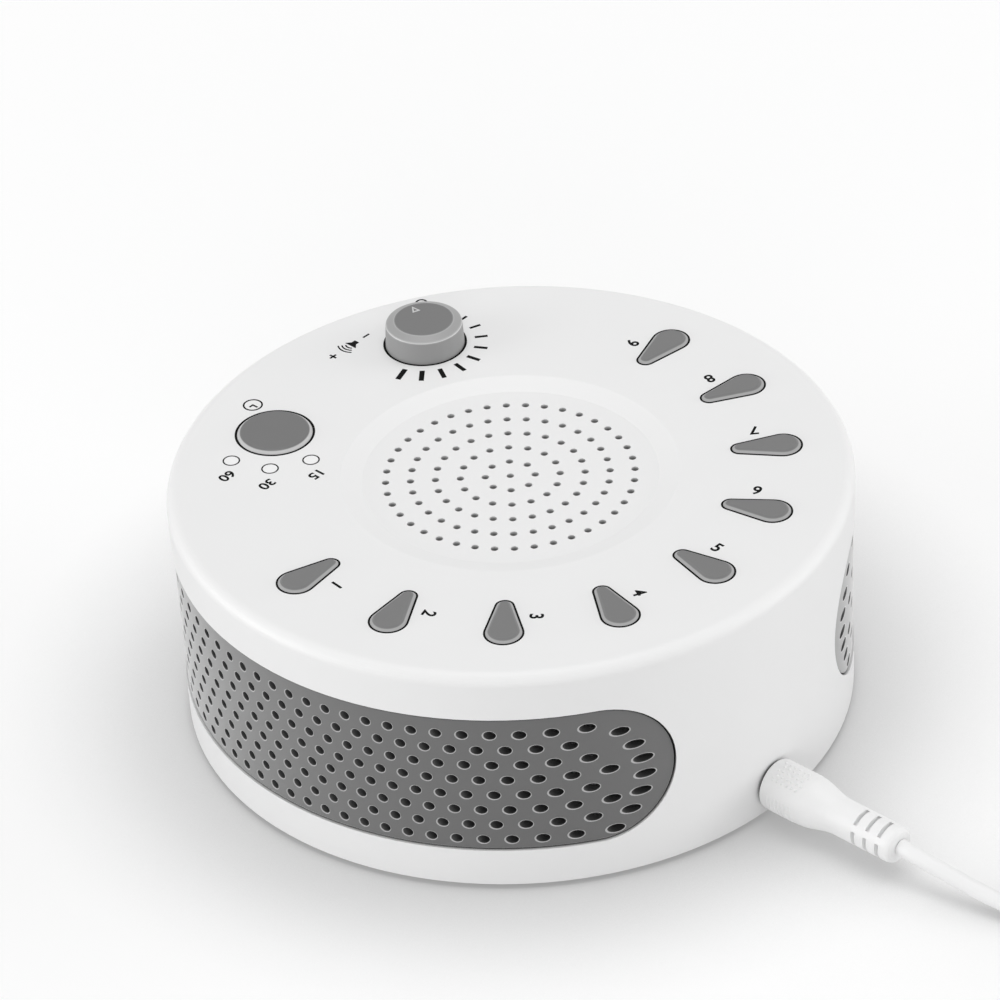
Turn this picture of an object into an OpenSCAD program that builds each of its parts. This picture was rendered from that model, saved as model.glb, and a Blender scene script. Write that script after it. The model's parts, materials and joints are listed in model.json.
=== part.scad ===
// White noise sound machine: a round tabletop puck with a drilled speaker dish, nine sound keys,
// a timer button, a volume knob, two drilled side bands and a low-voltage lead.
// Origin: on the table, at the middle of the housing. +Z up, user's side -Y, lead side +Y.

/* [Housing] */
// Outer diameter of the housing, at the level of its top face
body_d = 140; // [132:1:160]
// Height of the housing without its feet
shell_h = 51.8; // [48:0.2:62]
// Draft of the side wall, in degrees
draft = 1.1; // [0:0.1:2]
// Side wall thickness
wall_t = 2.2; // [1.6:0.1:2.6]
// Thickness of the top
top_t = 2.2; // [1.6:0.1:2.6]
// Radius of the top edge
edge_r = 2.6; // [1:0.1:4]
// Thickness of the base cover
base_t = 2.4; // [1.8:0.1:3.2]
// Gap between the base cover and the wall it sits in
base_gap = 0.2; // [0.1:0.05:0.5]
// Height of the stiffening rim on the base cover
base_rim_h = 4; // [2:0.5:6]

/* [Feet] */
// How far the feet stand proud of the base
foot_h = 1.2; // [0.8:0.1:3]
// Diameter of a foot
foot_d = 12; // [8:0.5:16]
// Distance of the feet from the middle
foot_at = 50; // [40:1:54]
// Depth of the pockets that the feet are glued in
foot_pocket = 0.5; // [0.3:0.1:0.8]
// Number of feet
foot_count = 4; // [3:1:6]

/* [Speaker dish] */
// Diameter of the dish where it meets the top
dish_d = 69; // [66:0.5:72]
// Width of the sloping ring round the dish
dish_slope_w = 4.3; // [2:0.1:6]
// Depth of the dish
dish_depth = 1.25; // [0.6:0.05:1.8]
// Diameter of the speaker holes
dot_d = 1.55; // [1:0.05:2.2]
// Rings of speaker holes round the middle one
dot_rings = 5; // [3:1:5]
// Distance between rings of speaker holes
dot_pitch = 5.07; // [4.5:0.05:5.2]
// Holes in the innermost ring, and how many more each next ring has
dot_step = 8; // [6:1:9]

/* [Sound keys] */
// Number of sound keys
key_count = 9; // [5:2:9]
// Angle between keys
key_step = 24; // [20:0.5:24]
// Radius of a key's wide end
key_wide_r = 3.65; // [3:0.05:4.2]
// Radius of a key's narrow end
key_tip_r = 1.6; // [1:0.1:2]
// Distance between the centres of the two ends
key_len = 8.8; // [7:0.1:10]
// Distance of the wide end's centre from the edge of the housing
key_edge = 14.1; // [14:0.1:16]
// How far the ring of keys lies to the right of the housing's axis
keys_x = -0.45; // [-0.6:0.05:0.6]
// How far the ring of keys lies behind the housing's axis
keys_y = -0.6; // [-0.8:0.05:0.8]
// Turn of the keys and of the speaker holes round the middle, in degrees
top_turn = -0.5; // [-1:0.1:1]
// How far keys and timer button stand proud of the top
key_proud = 0.75; // [0.4:0.05:1.5]
// Width of the bevel round a key's top
key_bevel_w = 0.9; // [0.3:0.1:1.1]
// Gap between a key and its opening
key_gap = 0.3; // [0.25:0.05:0.5]
// Travel of a key
key_travel = 0.5; // [0.3:0.1:0.6]
// Width and thickness of the lip that keeps a key in
lip = 1; // [0.6:0.1:1.2]
// Diameter of a key's stem
stem_d = 3.2; // [2.4:0.1:3.4]

/* [Timer] */
// Distance of the centres of timer button and knob from the edge of the housing
control_edge = 18.93; // [18:0.01:20]
// Angle of the timer button round the housing
timer_angle = -66.3; // [-70:0.1:-62]
// Diameter of the timer button
timer_d = 15.6; // [12:0.1:16]
// Distance of the light windows from the timer button's centre
led_at = 12.7; // [12:0.1:13.5]
// Angle of the first light window, seen from the timer button
led_first = 0; // [-10:1:10]
// Angle between light windows
led_step = 40; // [30:1:44]
// Diameter of a light window
led_d = 3.5; // [2.5:0.1:4]

/* [Volume knob] */
// Angle of the knob round the housing
knob_angle = -117; // [-120:0.1:-114]
// Diameter of the knob at its foot
knob_d = 16.6; // [14:0.1:18]
// Diameter of the knob at its rim
knob_rim_d = 16.1; // [14:0.1:16.4]
// Diameter of the knob's flat top
knob_flat_d = 12.4; // [9:0.1:13]
// Height of the knob above the top of the housing
knob_h = 5.95; // [4.5:0.05:9]
// Height of the bevel between rim and flat top
knob_bevel_h = 0.8; // [0.3:0.05:1.2]
// Softening of the knob's edges
knob_soft = 0.4; // [0.1:0.05:0.6]
// Depth of the well that the knob's foot sits in
well_depth = 0.8; // [0.5:0.1:1.1]
// Gap round and under the knob's foot
knob_gap = 0.35; // [0.3:0.05:0.6]
// Diameter of the knob's shaft
shaft_d = 6; // [4:0.1:6.4]
// Radial running clearance of shafts in their bushings
run_gap = 0.06; // [0.03:0.01:0.1]

/* [Side bands] */
// Height of a side band
band_h = 32.5; // [26:0.1:34]
// Height of the middle of the bands above the table
band_z = 26.2; // [25:0.1:27]
// Half of the angle between the centres of a band's round ends
band_half_angle = 54.9; // [50:0.1:56]
// How far both bands are turned towards the lead, in degrees
band_turn = 1.05; // [0:0.05:1.5]
// How far a band lies behind the wall's face
band_inset = 0.35; // [0.2:0.05:0.6]
// Thickness of a band
band_t = 2; // [1.4:0.1:2.4]
// Gap between a band and its window
band_gap = 0.2; // [0.1:0.05:0.4]
// Width of the flange behind the window's edge
flange_w = 1.5; // [1:0.1:2]
// Thickness of that flange
flange_t = 1; // [0.8:0.1:1.2]
// Diameter of the holes in a band
vent_d = 2; // [1.4:0.1:2.4]
// Distance between holes in a row
vent_pitch = 4.46; // [4.2:0.02:6]
// Distance between rows of holes
vent_row = 3.74; // [3.5:0.02:3.8]
// Rows of holes
vent_rows = 8; // [4:2:8]
// How far the middle of the rows lies below the middle of the band
vent_drop = 0.7; // [0:0.1:1]
// Holes in the arc at each end of a band
vent_arc_count = 7; // [5:1:7]
// Distance of that arc from the end of the band, both seen squarely from the band's side
vent_arc_in = 3.4; // [3:0.1:5]
// Vertical distance between the holes of an arc
vent_arc_step = 4; // [3:0.1:4.1]
// How far the middle of an arc lies below the middle of the rows
vent_arc_drop = 1.3; // [0:0.1:1.3]
// Least distance between the rows and the arc
vent_arc_gap = 2.3; // [2.2:0.1:3]

/* [Speaker] */
// Width of the speaker's flange round its cone
speaker_rim_w = 6; // [5:0.5:6.5]
// Thickness of the flange
speaker_flange_t = 1.6; // [1:0.1:2.4]
// Depth of the speaker below its flange, without the magnet
basket_h = 13; // [10:0.5:16]
// Diameter of the magnet
magnet_d = 34; // [28:0.5:38]
// Thickness of the magnet
magnet_h = 9; // [6:0.5:12]
// Outer diameter of the cone
cone_d = 54; // [48:0.5:55]
// Thickness of the gasket over the flange
gasket_t = 1; // [0.5:0.1:2]

/* [Electronics] */
// Gap between the speaker's flange and the ring-shaped board, seen from above
board_clear = 2; // [1.5:0.1:2.5]
// Gap between the board and the columns of the base screws
board_gap = 0.4; // [0.2:0.1:1]
// Thickness of the board
board_t = 1.6; // [1:0.1:2]
// Distance of the board's screws from its inner edge
board_screw_in = 4.6; // [4:0.1:5]
// Side of a tact switch
switch_w = 6; // [5:0.1:6.4]
// Height of a tact switch without its plunger
switch_h = 3.5; // [3:0.1:4.5]
// Diameter of a switch's plunger
plunger_d = 3.4; // [2.6:0.1:3.6]
// How far a plunger stands above its switch
plunger_up = 1; // [0.8:0.1:1.6]
// Gap round a plunger in its switch
plunger_gap = 0.3; // [0.25:0.05:0.4]
// How far the switches lie inwards of the wide ends of the keys
switch_in = 3.1; // [2:0.1:4]
// Width of the potentiometer
pot_w = 9.6; // [8:0.1:12]
// Height of the potentiometer above the board
pot_h = 6; // [5:0.1:6.4]

/* [Screws] */
// Diameter of the columns that take the base screws
post_d = 6; // [5:0.1:6.2]
// Gap between those columns and the flanges of the side bands
post_gap = 1.6; // [1:0.1:2]
// Angle of the first base screw
post_first = 56; // [55:1:58]
// Diameter of the base screws' heads
head_d = 5.4; // [4.5:0.1:6]
// Diameter of the base screws' threads
thread_d = 2.6; // [2:0.1:3]
// Length of the base screws' threads
thread_len = 9; // [6:0.5:12]
// Diameter of the small screws' heads
small_head_d = 3.6; // [3:0.1:3.7]
// Diameter of the small screws' threads
small_thread_d = 2; // [1.6:0.1:2.2]
// Length of the small screws' threads
small_thread_len = 5; // [4:0.5:6]

/* [Jack and lead] */
// Height of the plug's axis above the table
plug_z = 7.3; // [7:0.1:9]
// Diameter of the jack's mouth
jack_d = 8; // [7:0.1:9]
// Side of the jack's square block
jack_w = 9; // [8.4:0.1:10]
// Length of the jack's block
jack_len = 13; // [12:0.5:16]
// Diameter of the plug's metal barrel
barrel_d = 5.5; // [5:0.1:5.6]
// Length of the barrel ahead of the plug's grip
barrel_len = 10; // [8:0.5:11]
// Diameter of the jack's middle pin
pin_d = 2.1; // [1.6:0.1:2.5]
// Diameter of the plug's grip
grip_d = 10.8; // [9:0.1:11.2]
// Length of the grip's full-width part
grip_len = 8.9; // [6:0.1:10]
// Gap between the plug's grip and the wall
plug_off = 0.6; // [0.5:0.1:2]
// Diameter of the strain relief
relief_d = 7.8; // [6:0.1:8.4]
// Length of the plug with its strain relief
plug_len = 32.3; // [31:0.1:36]
// Diameter of the lead
cord_d = 3.5; // [3.3:0.1:3.6]

/* [Hidden] */

$fn = 64;
tiny = 0.01;
over = 1; // cutters run this far past what they cut

// Small sizes and clearances that seldom change
dish_out = 1; // the step under the dish starts this far outside the dish's edge
dish_in = 0.6; // and ends this far inside it
key_foot = 0.05; // height of a key's upright side above the top
button_soft = 0.2; // softening of the timer button's edges
band_cut_in = 14; // a band's cutter reaches this far in from the housing's radius
band_cut_out = 4; // and this far out of it
vent_arc_bend = 0.0195; // how fast an arc of holes curves back
vent_start = body_d * 0.15; // the holes are drilled outwards from here
foot_edge = 0.6; // bevel of a foot
foot_gap = 0.1; // round a foot in its pocket
rim_in = 0.6; // of the base cover's rim behind its edge
rib_in = 7; // of the base cover's ribs
rib_h = 2;
rail_gap = 0.1; // between the base cover's rails and the jack
post_room = 0.4; // round a post in the rim
chip_size = [8, 10, 1.6];
lip_gap = 0.1; // between a key's lip and the underside of the top
stem_len = 2.2; // of a key's stem
plunger_depth = 1.4; // of a plunger in its switch
led_h = 4;
led_dome_d = 3;
led_gap = 0.05; // round a light window
head_h = 1.6; // of all screw heads
screw_gap = 0.4; // added to the diameter of a hole that a screw passes
board_post_d = 4.6;
speaker_post_d = 3.6;
speaker_bite = 1.2; // how far a speaker screw goes into its post
screw_in = 0.1; // of a speaker screw's head behind the flange's edge
basket_t = 1.2;
voice_r = 8; // of the voice coil's tube and of the hole it moves in
cone_t = 0.6; // thickness of the cone
cone_rim_w = 1; // of the cone on the basket's mouth
cone_sink = 0.4; // of the cone's rim below the flange
cone_roll_w = 4; // of the surround
cone_roll_h = 2;
cone_neck_h = 1.8; // of the voice coil's tube
cone_cap_h = 3;
knob_bore = 4; // how deep the shaft goes into the knob
shaft_foot = 2; // height of the shaft's foot above the board
flange_gap = 0.05; // between a band's flange and the wall
head_seat = 1; // what is left of the base above a base screw's head
rim_t = 1.6; // of the base cover's rim and ribs
jack_gap = 0.2; // round the jack's mouth
jack_seat = 0.1; // between the jack's block and the wall
mouth_inset = 0.3; // of the jack's mouth behind the wall's face
barrel_gap = 0.12; // round the barrel in the jack
tip_gap = 0.3; // ahead of the barrel's tip and under a pressed plunger

// Heights, all above the table
shell_z = foot_h;
top_z = shell_z + shell_h;
under_top = top_z - top_t;
dish_floor_z = top_z - dish_depth;
dish_under = dish_floor_z - top_t;
lip_top = under_top - lip_gap;
lip_z = lip_top - lip;
board_z = lip_z - stem_len - plunger_up - switch_h;
plunger_z = board_z + switch_h + plunger_up;
plunger_foot_z = board_z + switch_h - plunger_depth;
led_top_z = board_z + led_h;
post_z = shell_z + base_t;

// Radius of the wall's outer face at a height
function wall_r(z) = body_d / 2 - (top_z - z) * tan(draft);
function polar(r, a) = [r * cos(a), r * sin(a)];
function key_angle(i) = 90 + top_turn + (i - (key_count + 1) / 2) * key_step;

// Distances from the middle of the housing
key_at = body_d / 2 - key_edge;
control_at = body_d / 2 - control_edge;
switch_at = key_at - switch_in;
post_at = wall_r(shell_z) - wall_t - flange_t - post_d / 2 - post_gap;
speaker_d = cone_d + 2 * speaker_rim_w;
speaker_screw_at = speaker_d / 2 - small_head_d / 2 - screw_in;
board_in = speaker_d / 2 + board_clear;
board_out = post_at - post_d / 2 - board_gap;
board_screw_at = board_in + board_screw_in;
chip_at = (board_in + board_out) / 2;
jack_foot_r = wall_r(post_z) - wall_t;
jack_front = sqrt(pow(jack_foot_r, 2) - pow(jack_w / 2, 2)) - jack_seat;
jack_back = jack_front - jack_len;
plug_y = wall_r(plug_z) + plug_off;
lead_y = plug_y + plug_len;
timer_xy = polar(control_at, timer_angle);
knob_xy = polar(control_at, knob_angle);
dish_r = dish_d / 2;
dish_floor_r = dish_r - dish_slope_w;
speaker_top = dish_under - gasket_t;
basket_z = speaker_top - speaker_flange_t - basket_h;
voice_z = basket_z + basket_t;
base_r = wall_r(shell_z) - wall_t - base_gap;
knob_z = top_z - well_depth + knob_gap;

// The route of the lead from the plug to the coil and from the coil to the far plug, and the
// coil's middle, all from the point on the table below the end of the strain relief
cord_route = [
    [0, 0.1, plug_z], [0, 3, plug_z - 0.2], [-0.4, 7, 6.4], [-1, 11, 5.6], [-1.6, 15, 4.7],
    [-2.4, 19, 3.8], [-3.2, 23, 3.1], [-4, 27, 2.5], [-4.8, 32, 2.1], [-5.6, 37, 1.9],
    [-6.4, 42, 1.9], [-7, 47, 2], [-7.3, 51, 2.2], [-7.5, 55, 2.4]
];
tail_route = [
    [-60.2, 63.6, 5.6], [-62, 59, 5.2], [-63.5, 52.5, 5.2], [-66, 48.2, 4.3], [-68.3, 44.2, 4]
];
coil_xy = [-33.8, 58];
coil_r = 21;
coil_across = 4; // cords beside each other
coil_layers = 2;
coil_w = coil_across * cord_d;
coil_h = coil_layers * cord_d;
tie_t = 0.6;
tie_angle = 20;
tie_at = 250;
usb_turn = 240;
usb_relief = 8;
usb_flare = [1, 2.2]; // how much thicker than the lead the relief is at its two ends
usb_grip = [20, 15, 7.6];
usb_corner = 2.2;
usb_nose = 0.8;
usb_shell_size = [12.4, 12, 4.5];
usb_mouth = [9, 11.2, 1.9];
usb_mouth_z = -0.1; // foot of the mouth, from the middle of the shell

// ---- shapes shared by several pieces ----

// Corner b of an outline that runs from a over b to c, softened over a length e on both sides
function soft_corner(a, b, c, e, steps = 4) =
    let (p = b + (a - b) / norm(a - b) * e, q = b + (c - b) / norm(c - b) * e)
    [for (i = [0:steps]) let (t = i / steps) (1 - t) * (1 - t) * p + 2 * t * (1 - t) * b + t * t * q];

// Outline of a teardrop: wide end at the origin, narrow end towards -X, grown by g
function teardrop(g) =
    let (lean = 90 + asin((key_wide_r - key_tip_r) / key_len), wide = 18, tip = 10)
    concat(
        [for (i = [0:wide]) polar(key_wide_r + g, -lean + i * 2 * lean / wide)],
        [for (i = [0:tip])
            polar(key_tip_r + g, lean + i * (360 - 2 * lean) / tip) - [key_len, 0]]
    );

// Solid through closed outlines of equal point counts, given from the bottom up
module loft(outlines) {
    n = len(outlines[0]);
    m = len(outlines);
    sides = [for (k = [0:m - 2]) for (i = [0:n - 1]) let (j = (i + 1) % n)
        each [
            [k * n + i, (k + 1) * n + i, (k + 1) * n + j],
            [k * n + i, (k + 1) * n + j, k * n + j]
        ]];
    polyhedron(
        points = [for (o = outlines) each o],
        faces = concat(
            [[for (i = [0:n - 1]) i]],
            sides,
            [[for (i = [n - 1:-1:0]) (m - 1) * n + i]]
        )
    );
}

// A flat outline lifted to a height
function lifted(outline, z) = [for (p = outline) [p[0], p[1], z]];

// Round tube along points, its ends square to its first and last stretch
module swept_tube(points, d, sides = 8) {
    n = len(points);
    function along(i) =
        let (v = points[min(i + 1, n - 1)] - points[max(i - 1, 0)]) v / norm(v);
    rings = [for (i = [0:n - 1])
        let (
            t = along(i),
            flat = cross(t, [0, 0, 1]),
            u = flat / norm(flat),
            w = cross(u, t)
        )
        [for (k = [0:sides - 1])
            let (a = (k + 0.5) * 360 / sides)
            points[i] + d / 2 * (cos(a) * u + sin(a) * w)]];
    loft([for (r = rings) [for (k = [sides - 1:-1:0]) r[k]]]);
}

// Places a copy at each of n places round the middle
module ring_of(n, r, first = 0) {
    for (i = [0:n - 1])
        rotate([0, 0, first + i * 360 / n])
            translate([r, 0, 0])
                children();
}

// Screw with a pan head: head at the bottom, thread upwards
module screw(head, thread, length, head_height) {
    difference() {
        cylinder(d = head, h = head_height);
        translate([0, 0, -tiny]) {
            cross_bar(head, head_height);
            rotate([0, 0, 90])
                cross_bar(head, head_height);
        }
    }
    translate([0, 0, head_height])
        cylinder(d = thread, h = length);
}

// One bar of a screw's cross recess
module cross_bar(head, head_height) {
    translate([-head * 0.3, -head * 0.07, 0])
        cube([head * 0.6, head * 0.14, head_height * 0.6]);
}

// Places its child on key i: wide end's radius along +X, middle of the ring of keys at the origin
module on_key(i) {
    translate([keys_x, keys_y, 0])
        rotate([0, 0, key_angle(i)])
            children();
}

// ---- side bands ----

// Places its child in the wall on the right, and a copy that faces the other way on the left
module on_both_sides() {
    rotate([0, 0, band_turn])
        children();
    rotate([0, 0, 180 - band_turn])
        children();
}

// Space of a side band in the +X wall, grown by g all round
module band_zone(g) {
    r_in = body_d / 2 - band_cut_in;
    r_out = body_d / 2 + band_cut_out;
    end_r = band_h / 2 + g;
    rotate([0, 0, -band_half_angle])
        rotate_extrude(angle = 2 * band_half_angle)
            translate([r_in, band_z - end_r])
                square([r_out - r_in, 2 * end_r]);
    // The round ends are a hair larger, so that they join the straight part
    for (s = [-1, 1])
        rotate([0, 0, s * band_half_angle])
            translate([r_in, 0, band_z])
                rotate([0, 90, 0])
                    cylinder(r = end_r + tiny, h = r_out - r_in);
}

// Ring that follows the wall, between two depths behind its outer face
module wall_ring(depth, t) {
    low = shell_z + 1;
    high = top_z - 2;
    rotate_extrude($fn = 128)
        polygon([
            [wall_r(low) - depth - t, low], [wall_r(low) - depth, low],
            [wall_r(high) - depth, high], [wall_r(high) - depth - t, high]
        ]);
}

vent_z = band_z - vent_drop;
band_end_y = body_d / 2 * sin(band_half_angle + band_h / body_d * 180 / PI);

// How far across from the middle of a band its arc of holes lies at a height
function vent_arc(z) = band_end_y - vent_arc_in - pow(z - vent_z, 2) * vent_arc_bend;

// Places of the holes of one band, across (y) and up (z): staggered rows, and an arc at each end
vent_places = concat(
    [for (row = [0:vent_rows - 1])
        let (
            z = vent_z + ((vent_rows - 1) / 2 - row) * vent_row,
            shift = row % 2 == 1 ? 0 : 0.5,
            n = floor((vent_arc(z) - vent_arc_gap) / vent_pitch - shift)
        )
        for (k = [-n - 2 * shift:n])
            [(k + shift) * vent_pitch, z]],
    [for (s = [-1, 1]) for (i = [0:vent_arc_count - 1])
        let (z = vent_z - vent_arc_drop + (i - (vent_arc_count - 1) / 2) * vent_arc_step)
        [s * vent_arc(z), z]]
);

module vent_hole(y, z) {
    translate([vent_start, y, z])
        rotate([0, 90, 0])
            cylinder(d = vent_d, h = body_d / 2, $fn = 16);
}

module side_band() {
    color("silver")
        difference() {
            union() {
                intersection() {
                    wall_ring(band_inset, band_t);
                    band_zone(0);
                }
                intersection() {
                    wall_ring(wall_t + flange_gap, flange_t);
                    difference() {
                        band_zone(flange_w);
                        band_zone(-flange_w);
                    }
                }
            }
            for (p = vent_places)
                vent_hole(p[0], p[1]);
        }
}

module side_band_right() {
    rotate([0, 0, band_turn])
        side_band();
}

module side_band_left() {
    rotate([0, 0, 180 - band_turn])
        side_band();
}

// ---- housing ----

// Half profile of the housing's outside, from the bottom of the wall to the middle of the dish
function outer_profile() =
    let (e = edge_r, r_top = wall_r(top_z - e))
    concat(
        [[0, shell_z], [wall_r(shell_z), shell_z]],
        [for (i = [0:8]) [r_top - e + e * cos(i * 90 / 8), top_z - e + e * sin(i * 90 / 8)]],
        [[dish_r, top_z], [dish_floor_r, dish_floor_z], [0, dish_floor_z]]
    );

// Half profile of the housing's inside
function inner_profile() =
    let (e = max(edge_r - wall_t, 0.4))
    concat(
        [[0, shell_z - over], [wall_r(shell_z - over) - wall_t, shell_z - over]],
        [for (i = [0:4])
            [wall_r(under_top) - wall_t - e + e * cos(i * 90 / 4), under_top - e + e * sin(i * 90 / 4)]],
        [[dish_r + dish_out, under_top], [dish_r - dish_in, dish_under], [0, dish_under]]
    );

module speaker_dots(z, h) {
    translate([0, 0, z]) {
        cylinder(d = dot_d, h = h, $fn = 16);
        for (k = [1:dot_rings])
            ring_of(dot_step * k, k * dot_pitch, 90 + top_turn)
                cylinder(d = dot_d, h = h, $fn = 16);
    }
}

// Post that hangs from the underside of the top, down to height z
module hanging_post(d, z, top) {
    translate([0, 0, z])
        cylinder(d = d, h = top - z + tiny);
}

// Hole that a screw's thread cuts into, from a post's foot upwards
module thread_hole(d, z, depth) {
    translate([0, 0, z - tiny])
        cylinder(d = d, h = depth + tiny);
}

module top_cover() {
    color("whitesmoke")
        difference() {
            union() {
                cover_shell();
                ring_of(4, post_at, post_first)
                    hanging_post(post_d, post_z, under_top);
                ring_of(4, board_screw_at, 45)
                    hanging_post(board_post_d, board_z, under_top);
                ring_of(4, speaker_screw_at, 45)
                    hanging_post(speaker_post_d, speaker_top, under_top);
            }
            ring_of(4, post_at, post_first)
                thread_hole(thread_d, post_z, thread_len);
            ring_of(4, board_screw_at, 45)
                thread_hole(small_thread_d, board_z, small_thread_len);
            ring_of(4, speaker_screw_at, 45)
                thread_hole(small_thread_d, speaker_top, gasket_t + speaker_bite);
        }
}

// The moulded wall and top, with every opening cut
module cover_shell() {
    difference() {
        rotate_extrude($fn = 128)
            polygon(outer_profile());
        rotate_extrude($fn = 128)
            polygon(inner_profile());
        speaker_dots(dish_under - over, top_t + 2 * over);
        for (i = [1:key_count])
            on_key(i)
                translate([key_at, 0, under_top - over])
                    linear_extrude(top_t + 2 * over)
                        polygon(teardrop(key_gap));
        translate([timer_xy[0], timer_xy[1], under_top - over]) {
            cylinder(d = timer_d + 2 * key_gap, h = top_t + 2 * over);
            for (i = [0:2])
                rotate([0, 0, led_first + i * led_step])
                    translate([led_at, 0, 0])
                        cylinder(d = led_d + 2 * led_gap, h = top_t + 2 * over);
        }
        translate([knob_xy[0], knob_xy[1], top_z - well_depth])
            cylinder(d = knob_d + 2 * knob_gap, h = well_depth + over);
        translate([knob_xy[0], knob_xy[1], under_top - over])
            cylinder(d = shaft_d + 2 * knob_gap, h = top_t + over);
        on_both_sides()
            band_zone(band_gap);
        on_plug_axis(jack_front - over)
            cylinder(d = jack_d + 2 * jack_gap, h = wall_r(plug_z) - jack_front + 2 * over);
    }
}

module base_cover() {
    rim_r = base_r - rim_in;
    rib_first = 30;
    color("whitesmoke")
        difference() {
            union() {
                translate([0, 0, shell_z])
                    cylinder(r = base_r, h = base_t, $fn = 128);
                translate([0, 0, post_z])
                    difference() {
                        cylinder(r = rim_r, h = base_rim_h, $fn = 128);
                        translate([0, 0, -over])
                            cylinder(r = rim_r - rim_t, h = base_rim_h + 2 * over, $fn = 128);
                        ring_of(4, post_at, post_first)
                            translate([0, 0, -over])
                                cylinder(d = post_d + 2 * post_room, h = base_rim_h + 2 * over);
                        translate([-jack_w / 2 - rim_t, jack_back, -over])
                            cube([jack_w + 2 * rim_t, base_r, base_rim_h + 2 * over]);
                    }
                for (s = [-1, 1])
                    translate([
                        s * (jack_w / 2 + rail_gap + rim_t / 2) - rim_t / 2, jack_back - 1, post_z - tiny
                    ])
                        cube([rim_t, jack_len - 2, base_rim_h]);
                for (k = [0:2])
                    rotate([0, 0, rib_first + k * 120])
                        translate([0, -rim_t / 2, post_z - tiny])
                            cube([base_r - rib_in, rim_t, rib_h]);
            }
            ring_of(4, post_at, post_first) {
                translate([0, 0, shell_z - over])
                    cylinder(d = head_d + screw_gap, h = over + base_t - head_seat);
                translate([0, 0, shell_z - over])
                    cylinder(d = thread_d + screw_gap, h = base_t + 2 * over);
            }
            ring_of(foot_count, foot_at, 0)
                translate([0, 0, shell_z - over])
                    cylinder(d = foot_d + 2 * foot_gap, h = over + foot_pocket);
        }
}

module rubber_feet() {
    color("dimgray")
        ring_of(foot_count, foot_at, 0)
            rotate_extrude()
                polygon([
                    [0, 0], [foot_d / 2 - foot_edge, 0], [foot_d / 2, foot_edge],
                    [foot_d / 2, foot_h + foot_pocket], [0, foot_h + foot_pocket]
                ]);
}

module base_screws() {
    color("gray")
        ring_of(4, post_at, post_first)
            translate([0, 0, post_z - head_seat - head_h])
                screw(head_d, thread_d, thread_len, head_h);
}

// ---- keys and switches ----

module key(i) {
    color("darkgray")
        on_key(i) {
            translate([key_at, 0, 0])
                loft([
                    lifted(teardrop(key_gap + lip), lip_z),
                    lifted(teardrop(key_gap + lip), lip_top),
                    lifted(teardrop(0), lip_top),
                    lifted(teardrop(0), top_z + key_foot),
                    lifted(teardrop(-key_bevel_w), top_z + key_proud)
                ]);
            translate([switch_at, 0, plunger_z])
                cylinder(d = stem_d, h = lip_z - plunger_z + tiny);
        }
}

module sound_key_1() { key(1); }
module sound_key_2() { key(2); }
module sound_key_3() { key(3); }
module sound_key_4() { key(4); }
module sound_key_5() { key(5); }
module sound_key_6() { key(6); }
module sound_key_7() { key(7); }
module sound_key_8() { key(8); }
module sound_key_9() { key(9); }

module timer_button() {
    r = timer_d / 2;
    flat_r = r - key_bevel_w;
    foot = [r, lip_top];
    edge = [r, top_z + key_foot];
    flat = [flat_r, top_z + key_proud];
    middle = [0, top_z + key_proud];
    color("darkgray")
        translate([timer_xy[0], timer_xy[1], 0]) {
            rotate_extrude()
                polygon(concat(
                    [[0, lip_z], [r + key_gap + lip, lip_z], [r + key_gap + lip, lip_top], foot],
                    soft_corner(foot, edge, flat, button_soft),
                    soft_corner(edge, flat, middle, button_soft),
                    [middle]
                ));
            translate([0, 0, plunger_z])
                cylinder(d = stem_d, h = lip_z - plunger_z + tiny);
        }
}

// Tact switch at the origin, standing on the board, with a bore for its plunger
module tact_switch() {
    difference() {
        translate([-switch_w / 2, -switch_w / 2, 0])
            cube([switch_w, switch_w, switch_h]);
        translate([0, 0, switch_h - plunger_depth - key_travel - tip_gap])
            cylinder(d = plunger_d + 2 * plunger_gap, h = switch_h);
    }
}

module tact_switches() {
    color("dimgray") {
        for (i = [1:key_count])
            on_key(i)
                translate([switch_at, 0, board_z])
                    tact_switch();
        translate([timer_xy[0], timer_xy[1], board_z])
            tact_switch();
    }
}

module plunger() {
    color("ivory")
        translate([0, 0, plunger_foot_z])
            cylinder(d = plunger_d, h = plunger_z - plunger_foot_z);
}

module key_plunger(i) {
    on_key(i)
        translate([switch_at, 0, 0])
            plunger();
}

module key_plunger_1() { key_plunger(1); }
module key_plunger_2() { key_plunger(2); }
module key_plunger_3() { key_plunger(3); }
module key_plunger_4() { key_plunger(4); }
module key_plunger_5() { key_plunger(5); }
module key_plunger_6() { key_plunger(6); }
module key_plunger_7() { key_plunger(7); }
module key_plunger_8() { key_plunger(8); }
module key_plunger_9() { key_plunger(9); }

module timer_plunger() {
    translate([timer_xy[0], timer_xy[1], 0])
        plunger();
}

// Round windows that carry the light from the board to the top
module light_windows() {
    color("white")
        translate([timer_xy[0], timer_xy[1], 0])
            for (i = [0:2])
                rotate([0, 0, led_first + i * led_step])
                    translate([led_at, 0, led_top_z + tip_gap])
                        cylinder(d = led_d, h = top_z - led_top_z - tip_gap);
}

module status_leds() {
    color("lightyellow")
        translate([timer_xy[0], timer_xy[1], 0])
            for (i = [0:2])
                rotate([0, 0, led_first + i * led_step])
                    translate([led_at, 0, board_z]) {
                        cylinder(d = led_dome_d, h = led_h - led_dome_d / 2);
                        translate([0, 0, led_h - led_dome_d / 2])
                            sphere(d = led_dome_d);
                    }
}

// ---- knob ----

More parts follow.
